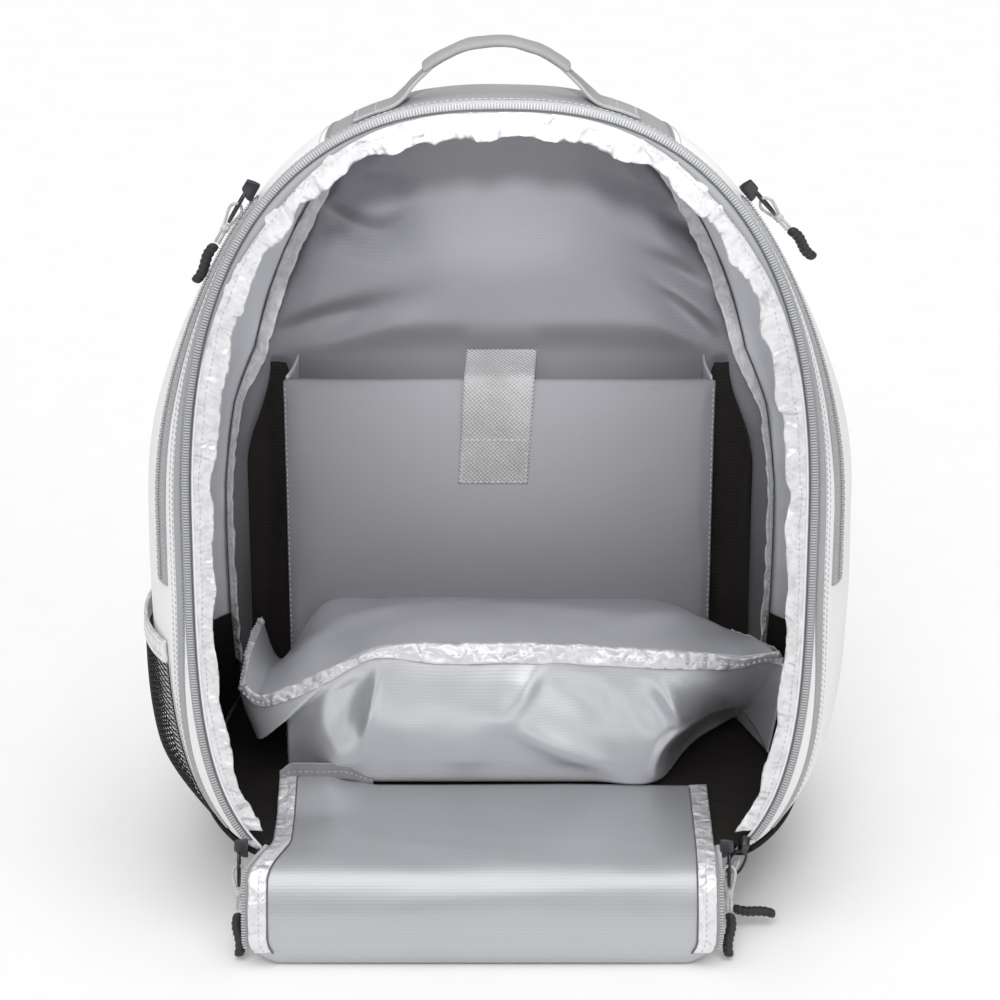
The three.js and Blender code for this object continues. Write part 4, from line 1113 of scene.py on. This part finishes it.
class BackpackShoeCompartment(bpy.types.Operator):
    """Slack satin divider of the shoe compartment with its bound edge"""

    bl_idname = "backpack.shoe_compartment"
    bl_label = "Shoe compartment"

    def execute(self, context):
        looks, finish = supplies(context)
        drape = cloth("shoe_divider_satin", divider, 230, 130, 0.8, finish["bright"],
                      (0, -0.7, 0.7), ["shoe_divider"], divider_is_deep)
        edge = cloth("divider_binding_satin", divider_binding, 420, 8, 0.7, finish["binding"],
                     (0, -0.7, 0.7), ["divider_binding"])
        declare(drape)
        u = np.linspace(0.01, 0.99, 700)
        sew("divider_stitch", looks, [(divider_binding, u, 0.52, 0.25, -1)], finish["bright_thread"],
            2.0, 0.8)
        return {"FINISHED"}


# Front panel, folded forward and doubled under the base
FRONT_LEFT, FRONT_RIGHT, FRONT_FLARE, FRONT_WALL = -121.0, 114.0, 11.5, 1.6
FRONT_ROUTE = Line([(0, -33, 5.9), (0, -70, 6), (0, -98, 6.6), (0, -115, 5.8), (0, -127.5, 1.4),
                    (0, -136, -8.5), (0, -139.4, -21), (0, -139.4, -34), (0, -136.6, -43.8)])
FLAP_FOLDS = ((-90, 36, 70, 40, 10, 0.9), (60, 46, 110, 50, 14, 0.9), (-20, 76, 12, 90, 9, 0.8),
              (20, 104, -4, 120, 7, 0.9))


def front_lining(u, v):
    rounding = 14 * np.maximum(0, (v - 0.88) / 0.12) ** 2.2
    spot = FRONT_ROUTE.at(v)
    mm = v * FRONT_ROUTE.length
    x = lerp(FRONT_LEFT - FRONT_FLARE * smoothstep(mm, 62, 98) + rounding, FRONT_RIGHT - rounding, u)
    spot[..., 0] = x
    ahead = unit(FRONT_ROUTE.at(np.minimum(1, v + 0.01)) - FRONT_ROUTE.at(np.maximum(0, v - 0.01)))
    out = np.cross(ahead, np.array([1.0, 0, 0]) * np.ones_like(ahead))
    held = np.minimum(1, 8 * np.minimum(u, 1 - u)) * np.minimum(1, 14 * (1 - v))
    wave = 0.6 + 0.6 * crumple(x, mm, 60, 8) + ridge(x, mm, FLAP_FOLDS)
    corner = 8 * (1 - smoothstep(x, -98, -66)) * (1 - smoothstep(mm, 6, 40))
    return spot + out * (FRONT_WALL / 2 + corner + held * np.clip(wave, -0.6, 2.2))[..., None]


def flap_side(edge, inward):
    """The binding down one side of the flap."""
    def surface(u, v):
        share, along = edge + inward * 9.8 / 240 * u, lerp(0.005, 0.94, v)
        out = -normals(front_lining, np.clip(share, 0.02, 0.98), along, 0.01)
        mm = along * FRONT_ROUTE.length
        crimp = 0.55 + 0.7 * np.maximum(-0.4, crumple(mm, 10 * u, 11, 40 + edge, 3))
        return front_lining(share, along) + out * (0.35 + crimp * (1 - 0.5 * u))[..., None]
    return surface


def standing_hem(u, v):
    """The bound end of the flap's lining, standing up where it is sewn to the base."""
    mm = u * 52
    away = smoothstep(u, 0.66, 1)
    turned = 1 - smoothstep(u, 0, 0.14)
    x = lerp(-121, -70, u)
    y = -38.6 - 4 * turned + 6 * away + 0.9 * crumple(mm, 4 * v, 13, 51, 3) + 1.2 * v
    wave = 0.7 * crumple(mm, 2, 18, 52, 2)
    return rows(x, y, 13.6 - 6 * away - 3 * turned * v + (9.2 - 5 * away) * v + wave * v)


# Middle line of the padded panel in side view, from the base's front edge round and under the base.
FOLD_ROUTE = Line([
    (0, -106, -1), (0, -115.5, -8), (0, -118, -20), (0, -112, -31), (0, -96, -34.6), (0, -40, -34.7),
    (0, 20, -34.7), (0, 70, -34.7), (0, 84.5, -32), (0, 90, -22.8), (0, 84.5, -13.6), (0, 70, -10.9),
    (0, 20, -10.8), (0, -40, -10.8), (0, -78, -10.8)])


class BackpackFrontPanel(bpy.types.Operator):
    """Front panel: bright lining with bound sides and zips, and the padded panel doubled under the base"""

    bl_idname = "backpack.front_panel"
    bl_label = "Front panel"

    def execute(self, context):
        looks, finish = supplies(context)
        flap = cloth("front_satin", front_lining, 90, 110, 1.5, finish["flap"],
                     (0, -0.7, 0.7), ["front_lining"])
        hems, lines, teeth = [], [], []
        v = np.linspace(0.01, 0.99, 400)
        for name, edge, inward in (("left", 0.0, 1.0), ("right", 1.0, -1.0)):
            side = flap_side(edge, inward)
            hems.append(cloth(f"front_satin_edge_{name}", side, 8, 220, 0.7, finish["binding"],
                              (0, -0.7, 0.7), [f"front_binding_{name}"]))
            lines.append((side, 0.55, v, 0.15, -inward))
            # A dark tube along the inner edge of each side binding: a painted shadow line.
            inner = side(np.full(160, 1.0), np.linspace(0.03, 1, 160)) - (0, 0, 0.3)
            hems.append(tube(f"front_painted_shadow_line_{name}", inner, 0.45, finish["seam"]))

            def zip_tape(u, v, edge=edge, inward=inward):
                spot = front_lining(np.full(np.shape(v), edge), lerp(0.47, 0.92, v))
                spot[..., 0] -= inward * lerp(-0.4, 3.4, u)
                spot[..., 2] -= 0.6
                return spot
            hems.append(cloth(f"front_zip_tape_{name}", zip_tape, 2, 60, 0.6, finish["tape"],
                              (0, -0.7, 0.7), [f"front_zip_{name}"]))
            teeth.append(teeth_places(zip_tape, 0.75, v, looks, 0.5, inward))
        # The standing hem is the bound edge, but it is given the darker grey lining satin as painted shade,
        # for it stands in the divider's shadow.
        hem = cloth("front_satin_hem", standing_hem, 90, 8, 0.8, finish["lining"],
                    (0, -1, 0))
        hems.append(hem)
        lines.append((standing_hem, np.linspace(0.02, 0.98, 60), 0.45, 0.1, 1))
        declare(flap)
        sew("front_stitch", looks, lines, finish["thread"], 2.0, 0.6)
        scatter("front_zip_coil", bead(2.8, 1.0, 1.5, 6, 5), teeth, finish["coil"])

        def middle(u, v):
            spot = FOLD_ROUTE.at(v)
            spot[..., 0] = lerp(-129, 111, u)
            return spot

        def nose(u, v):
            return 0.12 * np.exp(-((v - 0.05) / 0.05) ** 2)
        pad("front_pad", middle, 9.4, 50, 150, finish["outer_pad"], "light_polyester", ["front_panel"],
            0.6, 1.0, voxel=2.6, edge_u=0.05, edge_v=0.02, extra=nose)
        return {"FINISHED"}


# Outside pockets, handle and shoulder straps
PULL_X = 121.0
# The net is pulled tight towards the back, so its cells are this much longer that way.
NET_STRETCH = 2.3


def pocket_wall(s0, s1, wall):
    def surface(u, v):
        s = lerp(s0, s1, v)
        rise = (s - 0.012) / (0.117 - 0.012)
        belly = smoothstep(rise, -0.1, 0.3) * (1 - 0.7 * np.clip(rise, 0, 1))
        stand = 0.5 + 9.5 * np.sin(np.pi * np.clip(u, 0, 1) ** 0.8) ** 0.8 * belly
        return shell(s, lerp(0.095, 0.84, u), -stand - wall)
    return surface


class BackpackPockets(bpy.types.Operator):
    """Side pocket zips, the black net pocket and its elastic band"""

    bl_idname = "backpack.pockets"
    bl_label = "Side pockets"

    def execute(self, context):
        looks, finish = supplies(context)
        upper = float(arch_at(-PULL_X))
        teeth, lines = [], []
        for name, s0, s1 in (("left", 0.15, upper), ("right", 1 - upper, 0.85)):
            def tape(u, v, s0=s0, s1=s1):
                stand = 0.8 * np.sin(np.pi * np.clip(v, 0, 1)) ** 0.4
                return shell(lerp(s0, s1, u), lerp(0.072, 0.135, v), -0.6 - stand)
            band = cloth(f"side_zip_tape_{name}", tape, 150, 8, 0.7, finish["tape"], "out",
                         [f"side_zip_{name}"])
            declare(band)
            u = np.linspace(0.005, 0.995, 700)
            teeth.append(teeth_places(tape, u, 0.5, looks, 0.5))
            lines += [(tape, u, at, 0.15, 1) for at in (0.14, 0.86)]
        scatter("side_zip_coil", bead(3.2, 1.0, 1.6, 6, 4), teeth, finish["coil"])
        sew("side_zip_stitch", looks, lines, finish["thread"], 2.2, 0.6)

        surface = pocket_wall(0.012, 0.104, 0.6)
        wide, high = cut_size(surface)
        cell = looks.net_cell * 1000
        count = int((wide / NET_STRETCH + high) / cell / 1.2)
        build = bmesh.new()
        bmesh.ops.create_grid(build, x_segments=count, y_segments=count, size=cell * count / 2)
        bmesh.ops.rotate(build, verts=build.verts, matrix=Matrix.Rotation(math.pi / 4, 3, "Z"))
        bmesh.ops.scale(build, verts=build.verts, vec=(NET_STRETCH / wide, 1 / high, 1))
        for way in ((1, 0, 0), (-1, 0, 0), (0, 1, 0), (0, -1, 0)):
            bmesh.ops.bisect_plane(build, geom=build.verts[:] + build.edges[:] + build.faces[:], dist=1e-6,
                                   plane_co=[0.5 * c for c in way], plane_no=way, clear_outer=True)
        lay(build, surface, wide, high)
        build.normal_update()
        face_to(build, "out")
        bmesh.ops.wireframe(build, faces=build.faces, thickness=0.0008, offset=0.0, use_replace=True,
                            use_boundary=True, use_even_offset=False)
        net = from_build("pocket_net", build, finish["net"], ["mesh_pocket"])
        edge = pocket_wall(0.1044, 0.117, 1.6)
        band = cloth("pocket_elastic_band", edge, 90, 8, 1.6, finish["binding"], "out",
                     ["mesh_pocket_band"])
        declare(band)
        u = np.linspace(0.02, 0.98, 200)
        sew("pocket_band_stitch", looks, [(edge, u, at, 0.15, -1) for at in (0.25, 0.75)],
            finish["thread"], 2.0, 0.6)
        return {"FINISHED"}


HANDLE_Y, HANDLE_MIDDLE, GRIP_Z = -48.0, -1.8, 418.6


def top_height(x, y):
    """The height of the top panel under a place."""
    s = arch_at(x)
    front = FRONT_Y + LEAN * RIM.at(s)[1]
    return shell(s, (y - front) / (BACK_Y - front), 0)[..., 2]


class BackpackHandle(bpy.types.Operator):
    """Carrying handle: two webbing ends and a wrapped grip"""

    bl_idname = "backpack.handle"
    bl_label = "Handle"

    def execute(self, context):
        looks, finish = supplies(context)
        lines = []
        for name, side in (("left", -1), ("right", 1)):
            def seat(x):
                return float(top_height(x, HANDLE_Y)) + 0.9 + 0.8
            sewn = [HANDLE_MIDDLE + side * out for out in (72, 62, 53)]
            points = [(x, HANDLE_Y, seat(x)) for x in sewn]
            x = HANDLE_MIDDLE + side * 47
            points += [(x, HANDLE_Y, seat(x) + 3), (HANDLE_MIDDLE + side * 42, HANDLE_Y, GRIP_Z - 7),
                       (HANDLE_MIDDLE + side * 33, HANDLE_Y, GRIP_Z + 1.6)]
            route = Line(points)

            def ribbon(u, v, route=route):
                spot = route.at(v)
                spot[..., 1] += (u - 0.5) * lerp(22, 11, smoothstep(v, 0.4, 0.9))
                slope = top_height(spot[..., 0], spot[..., 1]) - top_height(spot[..., 0], HANDLE_Y)
                spot[..., 2] += 0.9 + slope * (1 - smoothstep(v, 0.4, 0.6))
                return spot
            end = cloth(f"handle_webbing_{name}", ribbon, 16, 60, 1.8, finish["webbing"],
                        (0, 0, 1), [f"handle_end_{name}"])
            declare(end)
            u = np.linspace(0.06, 0.94, 30)
            lines += [(ribbon, u, at, 0.2, side) for at in (0.05, 0.26)]
        sew("handle_stitch", looks, lines, finish["thread"], 2.4, 0.8)

        def middle(u, v):
            k = lerp(-1, 1, u)
            bow = 14.2 * (1 - np.abs(k) ** 2.1) + 0.5 * crumple(k * 36, v * 13, 9, 61)
            return rows(HANDLE_MIDDLE + k * 36.5, HANDLE_Y + (v - 0.5) * 13, GRIP_Z + bow)
        pad("handle_wrap", middle, 2.6, 60, 24, finish["top_pad"], "grey_polyester", ["handle_grip"], 0.7,
            0.6, voxel=1.2, edge_u=0.02, edge_v=0.45)
        return {"FINISHED"}


SHOULDER_ROUTE = ((44, 102.9, 338), (48, 124, 318), (54, 135, 270), (62, 137, 210), (72, 133, 150),
                  (80, 126, 104))
WEBBING_ROUTE = ((80.06, 125.9, 103.6), (86, 121, 78), (94, 113, 46), (100, 99.75, 20))


class BackpackShoulderStraps(bpy.types.Operator):
    """Padded shoulder straps with bound edges and the webbing sewn in at the base"""

    bl_idname = "backpack.shoulder_straps"
    bl_label = "Shoulder straps"

    def execute(self, context):
        looks, finish = supplies(context)
        lines = []
        for name, side in (("left", -1), ("right", 1)):
            route = Line([(side * x, y, z) for x, y, z in SHOULDER_ROUTE])

            def middle(u, v, route=route):
                spot = route.at(v)
                spot[..., 0] += (u - 0.5) * 61
                return spot
            pad(f"shoulder_strap_{name}", middle, 4.9, 26, 90, finish["outer_pad"], "light_polyester",
                [f"shoulder_pad_{name}"], 0.6, 2.0, voxel=4.0, edge_u=0.1, edge_v=0.04)
            run, side_u = np.linspace(0.015, 0.985, 120), np.linspace(0.06, 0.94, 20)
            border = [(0 * run + 0.012, run), (side_u, 0 * side_u + 0.985), (0 * run + 0.988, run[::-1]),
                      (side_u[::-1], 0 * side_u + 0.015)]
            border = np.vstack([middle(u, v) for u, v in border])
            tube(f"strap_corded_edge_{name}", border, 2.2, finish["top_pad"], closed=True)
            webbing = Line([(side * x, y, z) for x, y, z in WEBBING_ROUTE])

            def ribbon(u, v, route=webbing):
                spot = route.at(v)
                spot[..., 0] += (u - 0.5) * 25
                return spot
            end = cloth(f"strap_tail_{name}", ribbon, 14, 60, 1.8, finish["webbing"], (0, 1, 0),
                        [f"strap_webbing_{name}"])
            declare(end)
            u = np.linspace(0.06, 0.94, 30)
            lines += [(ribbon, u, at, 0.2, 1) for at in (0.9, 0.97)]
        sew("strap_stitch", looks, lines, finish["thread"], 2.4, 0.8)
        return {"FINISHED"}


# Zip pulls
def upper_seat(x):
    return shell(arch_at(x), 0.1, -6.6)


# Name, place, the way it hangs, the way its wire loop faces, the turn of its cord and how far down it starts.
PULLS = (
    ("low_left", (-138, -106.4, 8), (0, -0.45, -0.89), (-1, 0, 0), 0, 22),
    ("low_right", (121, -106.8, 8), (0, -0.45, -0.89), (1, 0, 0), 0, 22),
    ("floor_right", (129.6, -105.2, 8), (-0.3, 0.25, -0.92), (0, -1, 0), 100, 38),
    ("upper_left", upper_seat(-PULL_X), (-0.5, 0, -0.87), outward(arch_at(-PULL_X)), 0, 22),
    ("upper_right", upper_seat(PULL_X), (0.6, 0.3, -0.74), outward(arch_at(PULL_X)), 0, 22),
)
KICK_BEND, KICK_MOUTH = 10.0, 12.0
CORD_DIAMETER, CORD_START, CORD_WAIST, CORD_KNOT, CORD_MOUTH = 1.6, 9.0, 18.75, 24.0, 33.0
WIRE_X = 0.8
SLIDER_SIDE = ((-4, 5), (-1, 5), (3.2, 4.2), (3.4, -1.2), (-1, -4.6), (-4, -5))


def pull_line(b, kick, drop):
    """A place on a pull's centre line, b millimetres below its slider."""
    b = np.asarray(b, float)
    if kick == 0:
        return rows(0 * b, 0 * b, -b)
    turn = np.clip((b - drop) / KICK_BEND, 0, 1) * kick
    radius, rest = KICK_BEND / kick, np.maximum(0, b - drop - KICK_BEND)
    return rows(0 * b, radius * (1 - np.cos(turn)) + rest * np.sin(turn),
                -(np.minimum(b, drop) + radius * np.sin(turn) + rest * np.cos(turn)))


class BackpackPulls(bpy.types.Operator):
    """Zip pulls: slider, wire loop, doubled cord with its knot and moulded grip"""

    bl_idname = "backpack.pulls"
    bl_label = "Zip pulls"

    def execute(self, context):
        finish = supplies(context)[1]
        for name, at, hang, out, kick, drop in PULLS:
            up = -unit(np.array(hang, float))
            across = np.array(out, float)
            across = unit(across - up * (across @ up))
            axes = np.stack([across, np.cross(up, across), up])
            place = lambda local, at=np.asarray(at, float), axes=axes: at + np.asarray(local, float) @ axes
            turn = math.radians(kick)
            mouth = CORD_MOUTH if kick == 0 else drop + KICK_MOUTH
            self.slider(name, place, finish)
            self.wire_loop(name, place, finish)
            grip = self.grip(name, place, turn, drop, mouth, finish)
            knot = self.knot(name, place, turn, drop, finish)
            self.cord(name, place, turn, drop, mouth, finish, [grip, knot])
        return {"FINISHED"}

    def slider(self, name, place, finish):
        """The slider's body from its side view, with a bevelled edge and a bail for the wire."""
        build = bmesh.new()
        side = [build.verts.new((x, -2.0, z)) for x, z in SLIDER_SIDE]
        face = build.faces.new(side)
        grown = bmesh.ops.extrude_face_region(build, geom=[face])
        far = [g for g in grown["geom"] if isinstance(g, bmesh.types.BMVert)]
        bmesh.ops.translate(build, vec=(0, 4, 0), verts=far)
        bmesh.ops.recalc_face_normals(build, faces=build.faces)
        bmesh.ops.bevel(build, geom=build.edges[:], offset=0.55, offset_type="OFFSET", affect="EDGES",
                        segments=2, profile=0.5, material=-1)
        for vert in build.verts:
            vert.co = metres(place(vert.co[:]))
        from_build(f"pull_slider_{name}", build, finish["metal"], [f"slider_{name}"])

    def wire_loop(self, name, place, finish):
        half, top, bottom, shoulder = 3.5, 2.0, 20.0, 3.4
        knots = [(WIRE_X, 0, -top), (WIRE_X, half, -top - shoulder), (WIRE_X, half, -bottom + shoulder),
                 (WIRE_X, 0, -bottom), (WIRE_X, -half, -bottom + shoulder), (WIRE_X, -half,
                                                                             -top - shoulder)]
        ring = Line(knots * 3).points
        third = len(ring) // 3
        tube(f"pull_wire_{name}", place(ring[third:2 * third:6]), 0.8, finish["metal"],
             [f"wire_loop_{name}"], closed=True, sides=3)

    def strand(self, sign, turn, drop, mouth):
        stations = ((mouth, 1.0), ((CORD_KNOT + mouth) / 2, 1.0), (CORD_KNOT, 1.0), (CORD_WAIST, 2.25),
                    (CORD_START + 3.2, 3.2))
        return [pull_line(b, turn, drop) + (WIRE_X + sign * half, 0, 0) for b, half in stations]

    def cord(self, name, place, turn, drop, mouth, finish, on_it):
        crown = pull_line(CORD_START, turn, drop) + (WIRE_X, 0.75, 0)
        route = Line(self.strand(-1, turn, drop, mouth) + [crown] + self.strand(1, turn, drop, mouth)[::-1])
        piece = tube(f"pull_cord_{name}", place(route.at(np.linspace(0, 1, 90))), CORD_DIAMETER / 2,
                     finish["cord"], [f"cord_{name}"], sides=3)
        metres(place((WIRE_X, 0, -20)))
        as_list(on_it)

    def knot(self, name, place, turn, drop, finish):
        def surface(u, v):
            angle, k = 2 * np.pi * u, np.clip(v, 0, 1)
            swell = np.sqrt(np.maximum(0, 1 - (2 * k - 1) ** 2)) * (1 + 0.16 * np.sin(2 * angle + 9 * k))
            mid = pull_line(CORD_KNOT - 2.6 + 5.2 * k, turn, drop)
            return place(mid + rows(WIRE_X + 2.5 * swell * np.cos(angle), 1.9 * swell * np.sin(angle), 0 * k))
        return round_piece(f"pull_knot_{name}", surface, 16, 12, finish["cord"])

    def grip(self, name, place, turn, drop, mouth, finish):
        def surface(u, v):
            angle, k = 2 * np.pi * u, np.clip(v, 0, 1)
            near = np.clip(np.minimum(k, 1 - k) / 0.07, 0, 1)
            body = 2.5 * (1 + 0.12 * np.sin(np.pi * k)) * np.sqrt(np.maximum(0, 1 - (1 - near) ** 2))
            body = body * (1 + 0.07 * np.cos(2 * np.pi * 8 * k) * (near >= 1))
            mid = pull_line(mouth + 0.85 + k * 23.5, turn, drop)
            sway = WIRE_X + 1.0 * np.sin(2 * np.pi * k)
            y_axis = pull_line(mouth + 0.86 + k * 23.5, turn, drop) - mid
            y_axis = unit(np.cross(y_axis, rows(1 + 0 * k, 0 * k, 0 * k)))
            return place(mid + rows(sway + body * np.cos(angle), 0 * k, 0 * k)
                         + y_axis * (body * 0.9 * np.sin(angle))[..., None])
        return round_piece(f"pull_grip_{name}", surface, 16, 60, finish["rubber"],
                           [f"grip_{name}"])


# Stage
# Each sun's name, tilt, turn and spread in degrees, and its power.
SUNS = (("top_light", 10, -8, 60, 1.35), ("key_light", 52, -6, 26, 0.75), ("left_light", 68, -46, 40, 0.2),
        ("right_light", 68, 46, 40, 0.34))
CAMERA_PLACE, CAMERA_DROP, CAMERA_LENS, CAMERA_SENSOR = (0, -1.6509, 0.9098), 23, 118.9, 36.0
LAMP_PLACE, LAMP_AIM = (0, -1.5, 1.1), (0.006, 0.075, 0.315)
WORLD_STRENGTH = 0.42


class BackpackStage(bpy.types.Operator):
    """Camera at the photograph's angle, pale floor and soft studio light"""

    bl_idname = "backpack.stage"
    bl_label = "Stage"

    def execute(self, context):
        scene = context.scene
        view = bpy.data.cameras.new("photo_camera")
        view.lens, view.sensor_width = CAMERA_LENS, CAMERA_SENSOR
        view.clip_end = 50
        camera = bpy.data.objects.new("photo_camera", view)
        camera.location = CAMERA_PLACE
        camera.rotation_euler = (math.radians(90 - CAMERA_DROP), 0, 0)
        scene.collection.objects.link(camera)
        scene.camera = camera

        build = bmesh.new()
        bmesh.ops.create_grid(build, x_segments=2, y_segments=2, size=6)
        data = bpy.data.meshes.new("studio_floor")
        build.to_mesh(data)
        build.free()
        paper = bpy.data.materials.new("white_background_paper")
        paper.use_nodes = True
        tree = paper.node_tree
        tree.nodes.clear()
        # Matt background paper: an even white with the slightest cloud of fibres.
        spot = node(tree, "TexCoord").outputs["Object"]
        fibres = node(tree, "TexNoise", {"Vector": spot, "Scale": 30.0, "Detail": 2.0})
        tone = node(tree, "Mix", {0: fibres.outputs["Fac"], 6: shade(linear("#f8f8f8"), 1),
                                  7: shade(linear("#fcfcfc"), 1)}, data_type="RGBA")
        surface = node(tree, "BsdfPrincipled", {"Base Color": tone.outputs[2], "Roughness": 0.9})
        node(tree, "OutputMaterial", {"Surface": surface.outputs[0]})
        data.materials.append(paper)
        floor = bpy.data.objects.new("studio_floor", data)
        scene.collection.objects.link(floor)

        world = bpy.data.worlds.new("studio_walls")
        world.use_nodes = True
        sky = world.node_tree.nodes["Background"].inputs
        sky["Color"].default_value = (1, 1, 1, 1)
        sky["Strength"].default_value = WORLD_STRENGTH
        scene.world = world
        for name, tilt, turn, spread, power in SUNS:
            lamp = bpy.data.lights.new(name, "SUN")
            lamp.angle, lamp.energy = math.radians(spread), power
            box = bpy.data.objects.new(name, lamp)
            box.rotation_euler = (math.radians(tilt), 0, math.radians(turn))
            box.visible_glossy = name != "key_light"
            scene.collection.objects.link(box)
        # A small soft lamp beside the camera that reaches into the bag, brightest on the middle of its back.
        lamp = bpy.data.lights.new("inside_light", "SPOT")
        lamp.energy, lamp.spot_size = 320, math.radians(6.5)
        lamp.spot_blend, lamp.shadow_soft_size = 1.0, 0.1
        box = bpy.data.objects.new("inside_light", lamp)
        box.location = LAMP_PLACE
        box.rotation_euler = (Vector(LAMP_AIM) - box.location).to_track_quat("-Z", "Y").to_euler()
        box.visible_glossy = False
        scene.collection.objects.link(box)
        scene.view_settings.view_transform = "Standard"
        scene.view_settings.look = "None"
        return {"FINISHED"}


class BACKPACK_PT_sewing(bpy.types.Panel):
    """Lists the bag's pieces in the order in which they are made"""

    bl_label = "Backpack"
    bl_idname = "BACKPACK_PT_sewing"
    bl_space_type = "VIEW_3D"
    bl_region_type = "UI"
    bl_category = "Backpack"

    def draw(self, context):
        for made in OPERATORS:
            self.layout.operator(made.bl_idname)
        for name in BackpackLooks.__annotations__:
            self.layout.prop(context.scene.backpack, name)


OPERATORS = (BackpackStage, BackpackPulls, BackpackBase, BackpackWalls, BackpackBack, BackpackMainZip,
             BackpackBindings, BackpackSleeve, BackpackShoeCompartment, BackpackFrontPanel, BackpackPockets,
             BackpackHandle, BackpackShoulderStraps)
CLASSES = (BackpackLooks, *OPERATORS, BACKPACK_PT_sewing)


def register():
    for made in CLASSES:
        bpy.utils.register_class(made)
    bpy.types.Scene.backpack = PointerProperty(type=BackpackLooks)


def unregister():
    del bpy.types.Scene.backpack
    for made in reversed(CLASSES):
        bpy.utils.unregister_class(made)


def main():
    register()
    for made in OPERATORS:
        group, name = made.bl_idname.split(".")
        getattr(getattr(bpy.ops, group), name)()


if __name__ == "__main__":
    main()
